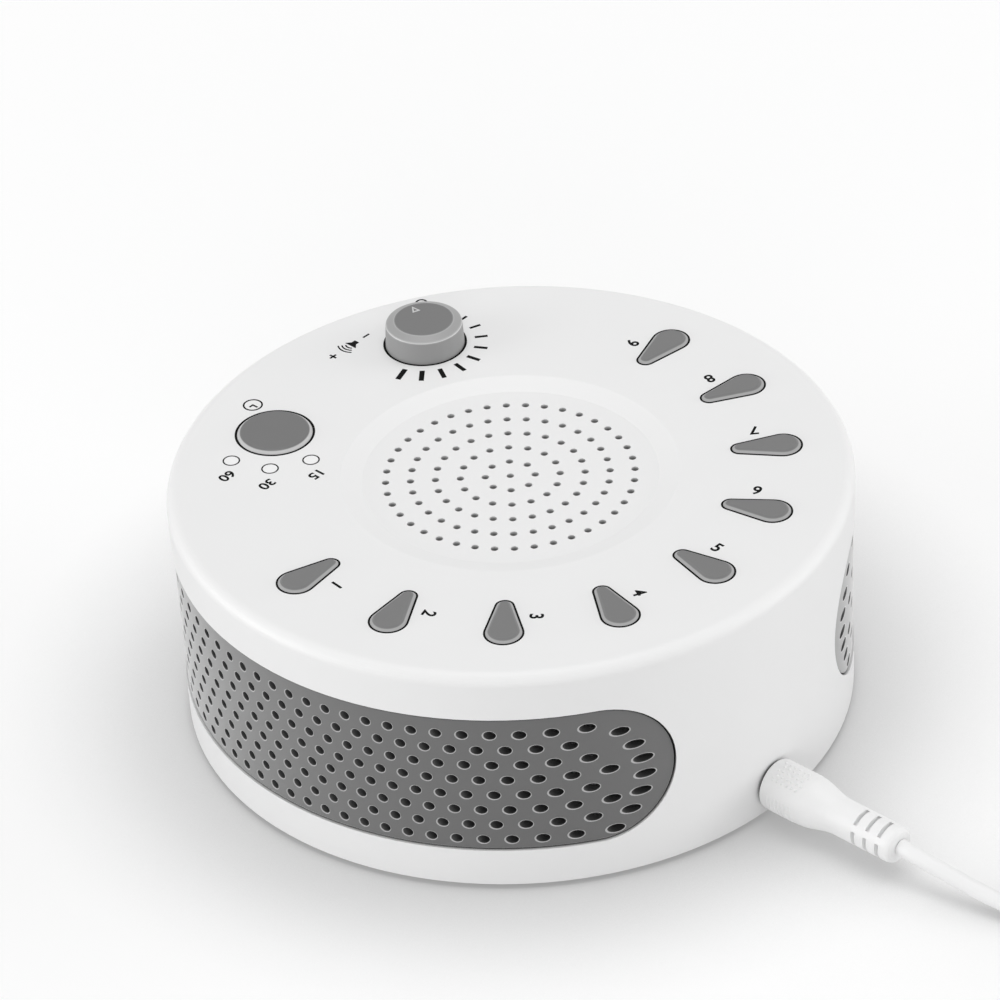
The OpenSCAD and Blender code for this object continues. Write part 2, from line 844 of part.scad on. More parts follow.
module volume_knob() {
    foot = [knob_d / 2, top_z];
    rim = [knob_rim_d / 2, top_z + knob_h - knob_bevel_h];
    flat = [knob_flat_d / 2, top_z + knob_h];
    middle = [0, top_z + knob_h];
    color("darkgray")
        translate([knob_xy[0], knob_xy[1], 0])
            difference() {
                rotate_extrude()
                    polygon(concat(
                        [[0, knob_z], [knob_d / 2, knob_z], foot],
                        soft_corner(foot, rim, flat, knob_soft),
                        soft_corner(rim, flat, middle, knob_soft),
                        [middle]
                    ));
                translate([0, 0, knob_z - over])
                    cylinder(d = shaft_d, h = knob_bore + over);
            }
}

module volume_shaft() {
    foot_z = board_z + shaft_foot;
    color("gainsboro")
        translate([knob_xy[0], knob_xy[1], foot_z])
            cylinder(d = shaft_d, h = knob_z + knob_bore - foot_z);
}

module volume_potentiometer() {
    color("slategray")
        translate([knob_xy[0], knob_xy[1], board_z])
            difference() {
                translate([-pot_w / 2, -pot_w / 2, 0])
                    cube([pot_w, pot_w, pot_h]);
                translate([0, 0, shaft_foot - run_gap])
                    cylinder(d = shaft_d + 2 * run_gap, h = pot_h);
            }
}

// ---- board ----

module main_board() {
    color("seagreen")
        translate([0, 0, board_z - board_t])
            difference() {
                cylinder(r = board_out, h = board_t, $fn = 128);
                translate([0, 0, -over])
                    cylinder(r = board_in, h = board_t + 2 * over, $fn = 128);
                ring_of(4, board_screw_at, 45)
                    translate([0, 0, -over])
                        cylinder(d = small_thread_d + screw_gap, h = board_t + 2 * over);
            }
}

module sound_chip() {
    color("black")
        rotate([0, 0, -90])
            translate([chip_at - chip_size[0] / 2, -chip_size[1] / 2, board_z])
                cube(chip_size);
}

module board_screws() {
    color("gray")
        ring_of(4, board_screw_at, 45)
            translate([0, 0, board_z - board_t - head_h])
                screw(small_head_d, small_thread_d, small_thread_len, head_h);
}

// ---- speaker ----

module speaker_basket() {
    flange_z = speaker_top - speaker_flange_t;
    mouth_r = cone_d / 2 + cone_rim_w;
    neck_r = magnet_d / 2;
    opening_in = 3;
    opening = [12, 8, basket_h - 2 * opening_in];
    color("dimgray")
        difference() {
            rotate_extrude($fn = 96)
                polygon([
                    [mouth_r, speaker_top], [speaker_d / 2, speaker_top], [speaker_d / 2, flange_z],
                    [mouth_r + basket_t, flange_z], [neck_r, basket_z], [voice_r, basket_z],
                    [voice_r, voice_z], [neck_r - basket_t, voice_z], [mouth_r, flange_z]
                ]);
            ring_of(4, speaker_screw_at, 45)
                translate([0, 0, flange_z - over])
                    cylinder(d = small_thread_d + screw_gap, h = speaker_flange_t + 2 * over);
            ring_of(6, neck_r + basket_t, 15)
                translate([0, -opening[1] / 2, basket_z + opening_in])
                    cube(opening);
        }
}

// Paper cone with its surround at the rim, the tube of its voice coil and its dust cap
module speaker_cone() {
    rim_r = cone_d / 2 + cone_rim_w;
    rim_z = speaker_top - cone_sink;
    roll_r = cone_d / 2 - cone_roll_w;
    roll_z = rim_z - cone_roll_h;
    tube_r = voice_r - cone_t;
    neck_z = voice_z + cone_neck_h;
    cap_z = neck_z + cone_cap_h;
    color("black")
        rotate_extrude($fn = 96)
            polygon([
                [rim_r, rim_z], [rim_r, rim_z - cone_t], [roll_r, roll_z],
                [voice_r + cone_t, neck_z], [voice_r, voice_z], [tube_r, voice_z],
                [tube_r, neck_z + cone_t], [0, cap_z], [0, cap_z + cone_t],
                [voice_r + cone_t, neck_z + 2 * cone_t], [roll_r - 2 * cone_t, roll_z + cone_t],
                [roll_r + 2 * cone_t, rim_z]
            ]);
}

module speaker_magnet() {
    color("gray")
        translate([0, 0, basket_z - magnet_h])
            cylinder(d = magnet_d, h = magnet_h);
}

module speaker_gasket() {
    color("darkslategray")
        translate([0, 0, speaker_top])
            difference() {
                cylinder(d = speaker_d - 1, h = gasket_t, $fn = 96);
                translate([0, 0, -over])
                    cylinder(d = cone_d + 1, h = gasket_t + 2 * over, $fn = 96);
                ring_of(4, speaker_screw_at, 45)
                    translate([0, 0, -over])
                        cylinder(d = speaker_post_d + screw_gap, h = gasket_t + 2 * over);
            }
}

module speaker_screws() {
    color("gray")
        ring_of(4, speaker_screw_at, 45)
            translate([0, 0, speaker_top - speaker_flange_t - head_h])
                screw(small_head_d, small_thread_d, speaker_flange_t + gasket_t + speaker_bite, head_h);
}

// ---- jack, plug and lead ----

// Things along the plug's axis: z of the child runs outwards, away from the housing
module on_plug_axis(y) {
    translate([0, y, plug_z])
        rotate([-90, 0, 0])
            children();
}

module dc_jack() {
    color("dimgray")
        difference() {
            union() {
                translate([-jack_w / 2, jack_back, post_z])
                    cube([jack_w, jack_len, plug_z - post_z + jack_w / 2]);
                on_plug_axis(jack_front - tiny)
                    cylinder(d = jack_d, h = wall_r(plug_z) - mouth_inset - jack_front);
            }
            on_plug_axis(plug_y - barrel_len - tip_gap)
                cylinder(d = barrel_d + 2 * barrel_gap, h = barrel_len + 2 * over);
        }
}

module jack_pin() {
    color("gainsboro")
        on_plug_axis(plug_y - barrel_len - tip_gap)
            cylinder(d = pin_d, h = barrel_len - 2, $fn = 24);
}

module plug_barrel() {
    color("silver")
        on_plug_axis(plug_y - barrel_len)
            difference() {
                cylinder(d = barrel_d, h = barrel_len);
                translate([0, 0, -over])
                    cylinder(d = pin_d + 0.4, h = barrel_len - 1 + over);
            }
}

// Moulded plug: round grip, a soft shoulder and a strain relief with rings of slots
module dc_plug() {
    grip_r = grip_d / 2;
    relief_r = relief_d / 2;
    shoulder_len = 8.5;
    shoulder_steps = 6;
    soft = 0.5;
    end_soft = 1.5;
    color("white")
        on_plug_axis(plug_y)
            difference() {
                rotate_extrude()
                    polygon(concat(
                        [[0, 0]],
                        soft_corner([0, 0], [grip_r, 0], [grip_r, grip_len], soft),
                        [for (i = [0:shoulder_steps])
                            let (t = i / shoulder_steps, fall = (1 - cos(180 * t)) / 2)
                            [grip_r + (relief_r - grip_r) * fall, grip_len + shoulder_len * t]],
                        soft_corner([relief_r, grip_len], [relief_r, plug_len], [0, plug_len], end_soft),
                        [[0, plug_len]]
                    ));
                relief_slots();
            }
}

// Three rings of four slots that let the strain relief bend, cut round the plug's axis
module relief_slots() {
    first = 9.2; // from the end of the strain relief back to the first ring
    step = 3.05;
    slot = [1.3, relief_d * 0.56, 0.95];
    turn = 15;
    for (k = [0:2])
        for (q = [0:3])
            rotate([0, 0, turn + q * 90])
                translate([
                    relief_d / 2 - slot[0], -slot[1] / 2, plug_len - first + k * step - slot[2] / 2
                ])
                    cube(slot + [over, 0, 0]);
}

// Places its child at the end of the strain relief, on the table
module on_lead() {
    translate([0, lead_y, 0])
        children();
}

module power_cord() {
    color("white")
        on_lead()
            swept_tube(cord_route, cord_d);
}

module cord_tail() {
    color("white")
        on_lead()
            swept_tube(tail_route, cord_d);
}

// Outer shape of the coiled lead
module cord_coil() {
    corner = cord_d * 0.3;
    color("white")
        on_lead()
            translate([coil_xy[0], coil_xy[1], tie_t])
                rotate_extrude($fn = 72)
                    translate([coil_r - coil_w / 2, 0])
                        polygon([
                            [0, corner], [corner, 0], [coil_w - corner, 0], [coil_w, corner],
                            [coil_w, coil_h - corner], [coil_w - corner, coil_h],
                            [corner, coil_h], [0, coil_h - corner]
                        ]);
}

module coil_tie() {
    color("black")
        on_lead()
            translate([coil_xy[0], coil_xy[1], 0])
                rotate([0, 0, tie_at])
                    rotate_extrude(angle = tie_angle, $fn = 72)
                        translate([coil_r - coil_w / 2, tie_t])
                            difference() {
                                translate([-tie_t, -tie_t])
                                    square([coil_w + 2 * tie_t, coil_h + 2 * tie_t]);
                                square([coil_w, coil_h]);
                            }
}

// Places its child on the far end of the lead, with +X out of the lead's end
module on_usb_axis() {
    on_lead()
        translate(tail_route[len(tail_route) - 1])
            rotate([0, 0, usb_turn])
                children();
}

// Rectangle from [0, -w / 2] to [l, w / 2], its corners softened by e at x = 0 and by f at x = l
function soft_box(l, w, e, f) =
    let (a = [0, -w / 2], b = [l, -w / 2], c = [l, w / 2], d = [0, w / 2])
    concat(
        soft_corner(d, a, b, e), soft_corner(a, b, c, f),
        soft_corner(b, c, d, f), soft_corner(c, d, a, e)
    );

module usb_plug() {
    across = usb_grip[1];
    thick = usb_grip[2];
    color("white")
        on_usb_axis() {
            rotate([0, 90, 0])
                cylinder(d1 = cord_d + usb_flare[0], d2 = cord_d + usb_flare[1], h = usb_relief, $fn = 32);
            translate([usb_relief - tiny, 0, 0])
                intersection() {
                    translate([0, 0, -thick / 2])
                        linear_extrude(thick)
                            polygon(soft_box(usb_grip[0], across, usb_corner * 2, usb_nose));
                    rotate([90, 0, 90])
                        linear_extrude(usb_grip[0])
                            translate([-across / 2, 0])
                                polygon(soft_box(across, thick, usb_corner, usb_corner));
                }
        }
}

module usb_shell() {
    color("silver")
        on_usb_axis()
            translate([usb_relief + usb_grip[0], 0, 0])
                difference() {
                    translate([0, -usb_shell_size[1] / 2, -usb_shell_size[2] / 2])
                        cube(usb_shell_size);
                    translate([usb_shell_size[0] - usb_mouth[0], -usb_mouth[1] / 2, usb_mouth_z])
                        cube(usb_mouth + [over, 0, 0]);
                }
}

top_cover();
base_cover();
side_band_right();
side_band_left();
sound_key_1();
sound_key_2();
sound_key_3();
sound_key_4();
sound_key_5();
sound_key_6();
sound_key_7();
sound_key_8();
sound_key_9();
timer_button();
volume_knob();
light_windows();
speaker_basket();
speaker_magnet();
speaker_cone();
speaker_gasket();
speaker_screws();
main_board();
tact_switches();
key_plunger_1();
key_plunger_2();
key_plunger_3();
key_plunger_4();
key_plunger_5();
key_plunger_6();
key_plunger_7();
key_plunger_8();
key_plunger_9();
timer_plunger();
volume_potentiometer();
volume_shaft();
status_leds();
sound_chip();
board_screws();
base_screws();
rubber_feet();
dc_jack();
jack_pin();
dc_plug();
plug_barrel();
power_cord();
cord_coil();
coil_tie();
cord_tail();
usb_plug();
usb_shell();
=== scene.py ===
"""Looks of a white noise sound machine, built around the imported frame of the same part."""
import json
import math

import bmesh
import bpy
from mathutils import Matrix, Quaternion, Vector
from mathutils.geometry import delaunay_2d_cdt


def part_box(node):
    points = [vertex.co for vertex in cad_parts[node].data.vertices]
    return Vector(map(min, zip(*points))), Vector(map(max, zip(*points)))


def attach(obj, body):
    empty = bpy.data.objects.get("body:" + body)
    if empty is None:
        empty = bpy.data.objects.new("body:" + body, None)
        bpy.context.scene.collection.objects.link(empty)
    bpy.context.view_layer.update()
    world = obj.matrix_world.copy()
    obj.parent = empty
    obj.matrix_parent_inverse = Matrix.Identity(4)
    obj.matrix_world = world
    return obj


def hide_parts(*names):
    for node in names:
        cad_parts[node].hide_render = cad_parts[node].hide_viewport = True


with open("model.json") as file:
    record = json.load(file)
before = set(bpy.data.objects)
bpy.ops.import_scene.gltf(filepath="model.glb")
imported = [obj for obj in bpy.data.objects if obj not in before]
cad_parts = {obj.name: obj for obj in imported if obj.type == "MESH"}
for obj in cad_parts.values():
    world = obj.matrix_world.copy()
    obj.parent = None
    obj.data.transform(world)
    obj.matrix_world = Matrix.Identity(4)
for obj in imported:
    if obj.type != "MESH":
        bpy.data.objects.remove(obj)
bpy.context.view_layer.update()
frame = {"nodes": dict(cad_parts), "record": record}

MM = 0.001
HOUSING = "housing"


def place(x, y, z):
    """A point given in millimetres, in metres."""
    return Vector((x, y, z)) * MM


def polar(radius, degrees):
    """A flat point in millimetres at a radius and an angle."""
    angle = math.radians(degrees)
    return Vector((radius * math.cos(angle), radius * math.sin(angle)))


def middle_of(node):
    """Middle of a node seen from above, in millimetres."""
    low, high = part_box(node)
    return Vector(((low.x + high.x) / 2, (low.y + high.y) / 2)) / MM


# ---- sizes in millimetres, all but the print's as the frame has them ----
TOP_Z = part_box("top_cover")[1].z / MM
INK_T = 0.02          # printed marks stand this proud
INK_SUNK = 0.01       # and reach this deep

WALL_R = 70           # radius of the housing at its top
DRAFT = 1.1           # lean of its wall, in degrees
KEY_COUNT = 9
KEY_STEP = 24
KEYS_XY = Vector((-0.45, -0.6))   # middle of the ring of keys
KEYS_TURN = -0.5
KEY_AT = 55.9         # middle of a key's wide end, from the middle of the ring
KEY_LEN = 8.8         # from there to the middle of its narrow end
KEY_WIDE_R = 3.65
KEY_TIP_R = 1.6
KEY_GAP = 0.3         # between a key and its opening
TIMER_XY = middle_of("timer_button")
TIMER_R = 7.8         # above its flange
KNOB_XY = middle_of("volume_knob")
KNOB_R = 8.3
WINDOW_COUNT = 3
WINDOW_AT = 12.7      # distance of the light windows from the timer button's middle
WINDOW_STEP = 40      # angle between them
WINDOW_R = 1.75

# ---- camera ----
CAMERA_AT = place(705.22, 691.48, 743.36)
CAMERA_AIM = place(-17.36, -20.42, 27)
CAMERA_ROLL = math.radians(-3.247)
CAMERA_LENS = 213.94
SENSOR_W = 36
CLIP_NEAR = 50
CLIP_FAR = 50000


def make_camera():
    """A camera at the photograph's angle, with its framing."""
    data = bpy.data.cameras.new("camera")
    data.lens = CAMERA_LENS
    data.sensor_width = SENSOR_W
    data.clip_start = CLIP_NEAR * MM
    data.clip_end = CLIP_FAR * MM
    camera = bpy.data.objects.new("camera", data)
    bpy.context.scene.collection.objects.link(camera)
    camera.location = CAMERA_AT
    camera.rotation_mode = "QUATERNION"
    level = (CAMERA_AIM - CAMERA_AT).to_track_quat("-Z", "Y")
    camera.rotation_quaternion = level @ Quaternion((0, 0, 1), CAMERA_ROLL)
    bpy.context.scene.camera = camera


# ---- materials ----
def node_of(tree, kind, **inputs):
    """A shader node with the named inputs set."""
    node = tree.nodes.new(kind)
    for name, value in inputs.items():
        node.inputs[name.replace("_", " ")].default_value = value
    return node


def grey(level, tint=(1, 1, 1)):
    """A linear colour from an 8-bit display grey and a tint."""
    share = level / 255
    linear = share / 12.92 if share <= 0.04045 else ((share + 0.055) / 1.055) ** 2.4
    return (linear * tint[0], linear * tint[1], linear * tint[2], 1)


def noise(tree, size, detail):
    """Noise in object space whose grains are about this big, in millimetres."""
    where = tree.nodes.new("ShaderNodeTexCoord")
    texture = node_of(tree, "ShaderNodeTexNoise", Scale=1 / (size * MM), Detail=detail)
    tree.links.new(where.outputs["Object"], texture.inputs["Vector"])
    return texture.outputs["Fac"]


def between(tree, factor, low, high):
    """A value that follows a factor from low to high."""
    ramp = node_of(tree, "ShaderNodeMapRange", To_Min=low, To_Max=high)
    tree.links.new(factor, ramp.inputs["Value"])
    return ramp.outputs["Result"]


def mixed(tree, factor, low, high):
    """A colour that follows a factor from one colour or socket to another."""
    node = tree.nodes.new("ShaderNodeMix")
    node.data_type = "RGBA"
    tree.links.new(factor, node.inputs["Factor"])
    for name, value in (("A", low), ("B", high)):
        if isinstance(value, tuple):
            node.inputs[name].default_value = value
        else:
            tree.links.new(value, node.inputs[name])
    return node.outputs["Result"]


def ramped(tree, value, start, end):
    """0 below the start, 1 above the end and smooth between."""
    ramp = node_of(tree, "ShaderNodeMapRange", From_Min=start, From_Max=end)
    ramp.interpolation_type = "SMOOTHSTEP"
    tree.links.new(value, ramp.inputs["Value"])
    return ramp.outputs["Result"]


def upward(tree, kind):
    """The upward part of an object's own Normal or, for the kind Object, a point's height in metres."""
    where = tree.nodes.new("ShaderNodeTexCoord")
    split = tree.nodes.new("ShaderNodeSeparateXYZ")
    tree.links.new(where.outputs[kind], split.inputs["Vector"])
    return split.outputs["Z"]


# where the painted light on bevel and side faces gives way to the flat colour
FLAT_FROM = 0.975     # a surface that faces up by this much starts to count as flat
FLAT_FULL = 0.995     # and by this much is flat
EDGE_BLEND = 0.1      # half the height over which a bevel passes into its flat top


def painted_bevel_light(tree, tones, flat, flat_above):
    """Painted light on bevel and side faces: greys given by how far up they face, and the flat colour
    elsewhere.

    Above the height flat_above, in millimetres, everything has the flat colour.
    """
    facing = upward(tree, "Normal")
    ramp = tree.nodes.new("ShaderNodeValToRGB")
    stops = ramp.color_ramp.elements
    while len(stops) < len(tones):
        stops.new(0.5)
    for stop, (up, level) in zip(stops, tones):
        stop.position = up
        stop.color = grey(level)
    tree.links.new(facing, ramp.inputs["Fac"])
    colour = mixed(tree, ramped(tree, facing, FLAT_FROM, FLAT_FULL), ramp.outputs["Color"], flat)
    if flat_above is None:
        return colour
    start, end = (flat_above - EDGE_BLEND) * MM, (flat_above + EDGE_BLEND) * MM
    return mixed(tree, ramped(tree, upward(tree, "Object"), start, end), colour, flat)


NEARNESS_SAMPLES = 8


def openness_for_painted_shade(tree, reach):
    """How open a point is: 1 where nothing lies within reach, in millimetres, 0 where it is closed in;
    the mask of painted shade.
    """
    near = node_of(tree, "ShaderNodeAmbientOcclusion", Distance=reach * MM)
    near.samples = NEARNESS_SAMPLES
    return near.outputs["AO"]


PAINTED_SHADE_REACH = 2.5   # how far from a point another surface lays painted shade on it
PAINTED_SHADE_OPEN = 0.5    # how open a point must be to get no painted shade
PAINTED_SHADE_DEPTH = 0.94   # how much painted shade darkens a fully closed-in point


def painted_crevice_shade(tree, colour):
    """A colour with painted shade: it goes dark in each hole and narrow gap where other surfaces lie
    close.
    """
    dim = tree.nodes.new("ShaderNodeMix")
    dim.data_type = "RGBA"
    dim.blend_type = "MULTIPLY"
    dim.inputs["Factor"].default_value = 1
    dark = 1 - PAINTED_SHADE_DEPTH
    share = ramped(tree, openness_for_painted_shade(tree, PAINTED_SHADE_REACH), 0, PAINTED_SHADE_OPEN)
    tone = mixed(tree, share, (dark, dark, dark, 1), (1, 1, 1, 1))
    tree.links.new(colour, dim.inputs["A"])
    tree.links.new(tone, dim.inputs["B"])
    return dim.outputs["Result"]


SHEEN_ROUGH = 0.5
ROUGH_CHANGE = 0.05   # by this much the grain makes a surface rougher or smoother
GRAIN_STRENGTH = 0.6
GRAIN_DETAIL = 2
CLOUD_DETAIL = 3


def finish_of(name, colour, rough, grain, relief, cloud, change, metal=0.0, level=0.5, sheen=0.0,
              painted_bevel_greys=None, flat_above=None, painted_gap_shade=False):
    """A moulded or metal surface: fine grain in its relief, soft cloudy changes of colour and gloss.

    Grain, relief and cloud are sizes in millimetres, and change is the share by which the colour varies.
    Bevel and side faces may get painted light, greys by how far up they face, and holes and narrow spaces
    painted shade.
    """
    made = bpy.data.materials.new(name)
    made.use_nodes = True
    tree = made.node_tree
    shader = tree.nodes["Principled BSDF"]
    shader.inputs["Metallic"].default_value = metal
    shader.inputs["Specular IOR Level"].default_value = level
    shader.inputs["Sheen Weight"].default_value = sheen
    shader.inputs["Sheen Roughness"].default_value = SHEEN_ROUGH
    dark = tuple(c * (1 - change) for c in colour[:3]) + (1,)
    light = tuple(min(c * (1 + change), 1) for c in colour[:3]) + (1,)
    tone = mixed(tree, noise(tree, cloud, CLOUD_DETAIL), dark, light)
    # painted light: bevel and side faces get greys by how far up they face
    if painted_bevel_greys:
        tone = painted_bevel_light(tree, painted_bevel_greys, tone, flat_above)
    # painted shade: the colour goes dark where other surfaces lie close
    if painted_gap_shade:
        tone = painted_crevice_shade(tree, tone)
    tree.links.new(tone, shader.inputs["Base Color"])
    fine = noise(tree, grain, GRAIN_DETAIL)
    gloss = between(tree, fine, rough - ROUGH_CHANGE, rough + ROUGH_CHANGE)
    tree.links.new(gloss, shader.inputs["Roughness"])
    bump = node_of(tree, "ShaderNodeBump", Strength=GRAIN_STRENGTH, Distance=relief * MM)
    tree.links.new(fine, bump.inputs["Height"])
    tree.links.new(bump.outputs["Normal"], shader.inputs["Normal"])
    return made


BOARD_GREEN = (0.02, 0.16, 0.07, 1)
IVORY_TINT = (1, 0.97, 0.88)
KEY_EDGE_H = 0.42     # up to this height over the top a key's bevel gets greys of painted light
TIMER_EDGE_H = 0.52   # and the timer button's
# what the keys, the timer button and the knob share, and what the parts of the bands share
CONTROL = dict(rough=0.42, grain=0.3, relief=0.004, cloud=5, change=0.02, level=0.4, painted_gap_shade=True)
BAND = dict(rough=0.6, grain=0.3, relief=0.005, cloud=6, change=0.02, metal=0.45)
# each list of bevel greys pairs how far up a surface faces, from 0 to 1, with a grey of painted light
FINISHES = {
    "white_housing": dict(
        colour=grey(234), rough=0.5, grain=0.3, relief=0.003, cloud=14, change=0.008, level=0.42,
        painted_gap_shade=True,
    ),
    "grey_plastic": dict(
        CONTROL, colour=grey(112),
        painted_bevel_greys=((0, 144), (0.15, 151), (0.4, 204), (0.75, 170), (0.93, 154), (0.965, 168)),
    ),
    "key_plastic": dict(
        CONTROL, colour=grey(114),
        painted_bevel_greys=((0, 100), (0.4, 150), (0.9, 166)), flat_above=TOP_Z + KEY_EDGE_H,
    ),
    "timer_plastic": dict(
        CONTROL, colour=grey(107),
        painted_bevel_greys=((0, 150), (0.3, 190), (0.9, 190)), flat_above=TOP_Z + TIMER_EDGE_H,
    ),
    "band_grey": dict(BAND, colour=grey(91), level=0.7, sheen=1.0, painted_gap_shade=True),
    "band_inside": dict(BAND, colour=grey(91), level=0.7, painted_gap_shade=True),
    # lighter grey on the hole rims: a painted highlight
    "band_rim_highlight": dict(BAND, colour=grey(176), sheen=1.0),
    # black that stands for the shade in narrow spaces: painted shade
    "gap_shadow_black": dict(
        colour=grey(8), rough=0.8, grain=0.3, relief=0.003, cloud=2, change=0.1, level=0.1,
    ),
    "light_window": dict(colour=grey(240), rough=0.3, grain=0.5, relief=0.001, cloud=3, change=0.01),
    "speaker_steel": dict(
        colour=grey(60), rough=0.45, grain=0.3, relief=0.003, cloud=5, change=0.05, metal=0.6,
    ),
    "speaker_magnet": dict(
        colour=grey(120), rough=0.35, grain=0.3, relief=0.003, cloud=5, change=0.05, metal=0.9,
    ),
    "cone_paper": dict(colour=grey(28), rough=0.85, grain=0.25, relief=0.02, cloud=2, change=0.15),
    "gasket_foam": dict(colour=grey(40), rough=0.95, grain=0.5, relief=0.08, cloud=2, change=0.15),
    "screw_steel": dict(
        colour=grey(150), rough=0.32, grain=0.2, relief=0.003, cloud=2, change=0.06, metal=1.0,
    ),
    "board_green": dict(colour=BOARD_GREEN, rough=0.35, grain=0.4, relief=0.004, cloud=4, change=0.12),
    "switch_black": dict(colour=grey(38), rough=0.5, grain=0.3, relief=0.004, cloud=3, change=0.06),
    "plunger_ivory": dict(
        colour=grey(215, IVORY_TINT), rough=0.45, grain=0.3, relief=0.003, cloud=3, change=0.03,
    ),
    "shaft_metal": dict(
        colour=grey(180), rough=0.3, grain=0.2, relief=0.003, cloud=2, change=0.05, metal=1.0,
    ),
    "foot_rubber": dict(colour=grey(62), rough=0.8, grain=0.3, relief=0.01, cloud=3, change=0.08),
    "white_lead": dict(colour=grey(235), rough=0.5, grain=0.3, relief=0.006, cloud=8, change=0.01),
    "plug_nickel": dict(
        colour=grey(200), rough=0.25, grain=0.2, relief=0.002, cloud=3, change=0.04, metal=1.0,
    ),
    "tie_black": dict(colour=grey(30), rough=0.55, grain=0.3, relief=0.006, cloud=3, change=0.1),
    "print_ink": dict(
        colour=grey(8), rough=0.7, grain=0.2, relief=0.002, cloud=1.5, change=0.12, level=0.1,
    ),
    "mark_light": dict(colour=grey(200), rough=0.5, grain=0.2, relief=0.002, cloud=1.5, change=0.05),
}


def make_materials():
    """Every material by its name."""
    return {name: finish_of(name, **finish) for name, finish in FINISHES.items()}


# ---- meshes ----
SMOOTH_BELOW = 30     # faces that meet at less than this many degrees are shaded as one


def piece(name, vertices, faces, material, slot, body=HOUSING):
    """A mesh piece from points in metres, which rides on a body."""
    mesh = bpy.data.meshes.new(name)
    mesh.from_pydata([tuple(v) for v in vertices], [], faces)
    work = bmesh.new()
    work.from_mesh(mesh)
    bmesh.ops.recalc_face_normals(work, faces=work.faces)
    work.to_mesh(mesh)
    work.free()
    mesh.polygons.foreach_set("use_smooth", [True] * len(mesh.polygons))
    mesh.set_sharp_from_angle(angle=math.radians(SMOOTH_BELOW))
    made = bpy.data.objects.new(name, mesh)
    bpy.context.scene.collection.objects.link(made)
    mesh.materials.append(material)
    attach(made, body)
    return made


def joined(parts):
    """One list of points and faces from several."""
    points, faces = [], []
    for more_points, more_faces in parts:
        start = len(points)
        points += more_points
        faces += [tuple(i + start for i in face) for face in more_faces]
    return points, faces


def strip(faces, low, high, count):
    """Adds the faces between two rings of as many points, given by the first point of each."""
    for i in range(count):
        k = (i + 1) % count
        faces.append((low + i, low + k, high + k, high + i))


def slab(outline, low, high):
    """Points and faces of a flat outline between two heights, all in millimetres."""
    n = len(outline)
    points = [place(x, y, low) for x, y in outline] + [place(x, y, high) for x, y in outline]
    faces = [tuple(range(n - 1, -1, -1)), tuple(range(n, 2 * n))]
    faces += [(i, (i + 1) % n, n + (i + 1) % n, n + i) for i in range(n)]
    return points, faces


def arc_slab(centre, inner, outer, low, high, start=0, sweep=360, steps=40):
    """Points and faces of a flat ring, or of a part of one."""
    whole = sweep == 360
    count = steps if whole else steps + 1
    points, faces = [], []
    for i in range(count):
        turn = start + sweep * i / steps
        for radius, z in ((inner, low), (outer, low), (outer, high), (inner, high)):
            spot = centre + polar(radius, turn)
            points.append(place(spot.x, spot.y, z))
    for i in range(steps):
        a, b = 4 * i, 4 * ((i + 1) % count)
        faces += [(a + k, a + (k + 1) % 4, b + (k + 1) % 4, b + k) for k in range(4)]
    if not whole:
        last = 4 * steps
        faces += [(0, 1, 2, 3), (last + 3, last + 2, last + 1, last)]
    return points, faces


def circle(centre, radius, steps=72):
    """Outline of a circle."""
    return [centre + polar(radius, 360 * i / steps) for i in range(steps)]


# ---- black rings of painted shade round the controls ----
def key_turn(i):
    """Angle at which a key lies, from the middle of the ring of keys."""
    return 90 + KEYS_TURN + (i - (KEY_COUNT - 1) / 2) * KEY_STEP


KEY_END_STEPS = 24    # on each round end of a key


def teardrop(i, grown):
    """Outline of a key, grown by so much."""
    angle = key_turn(i)
    lean = math.degrees(math.acos((KEY_WIDE_R - KEY_TIP_R) / KEY_LEN))
    wide_end = (KEY_AT, KEY_WIDE_R, angle, 180 - lean)
    narrow_end = (KEY_AT - KEY_LEN, KEY_TIP_R, angle + 180, lean)
    outline = []
    for at, radius, facing, half in (wide_end, narrow_end):
        middle = KEYS_XY + polar(at, angle)
        for k in range(KEY_END_STEPS + 1):
            outline.append(middle + polar(radius + grown, facing + half * (2 * k / KEY_END_STEPS - 1)))
    return outline


SHADOW_CLEARANCE = 0.03        # between a ring of painted shade and what moves in it
SHADOW_LIP = 0.12        # how far a ring of painted shade covers the edge of its opening
SHADOW_LIP_ROUND = 0.19  # and round the timer button and the knob
SHADOW_LOW = 0.6


def gap_shadow_between(inner, outer):
    """Points and faces of a black ring of painted shade between two outlines of as many points."""
    count = len(inner)
    points, faces = [], []
    for outline, z in ((inner, -SHADOW_LOW), (outer, -SHADOW_LOW), (outer, INK_T), (inner, INK_T)):
        points += [place(p.x, p.y, TOP_Z + z) for p in outline]
    for k in range(4):
        strip(faces, k * count, (k + 1) % 4 * count, count)
    return points, faces


def painted_gap_shadows(materials):
    """Black rings of painted shade round the keys, the timer button and the knob, where they meet their
    openings.
    """
    parts = []
    for i in range(KEY_COUNT):
        parts.append(gap_shadow_between(teardrop(i, SHADOW_CLEARANCE), teardrop(i, KEY_GAP + SHADOW_LIP)))
    for centre, radius in ((TIMER_XY, TIMER_R), (KNOB_XY, KNOB_R)):
        outer = circle(centre, radius + KEY_GAP + SHADOW_LIP_ROUND)
        parts.append(gap_shadow_between(circle(centre, radius + SHADOW_CLEARANCE), outer))
    # painted shade: black rings stand for the shade between each control and its opening
    piece("control_gap_shadows", *joined(parts), materials["gap_shadow_black"], "gasket_foam")


# ---- print on the top ----
INK = (TOP_Z - INK_SUNK, TOP_Z + INK_T)
FIGURE_SHARE = 0.7     # height of a figure as a share of the type's size
FIGURE_WEIGHT = 0.035  # how much a figure's strokes are thickened, as a share of its height


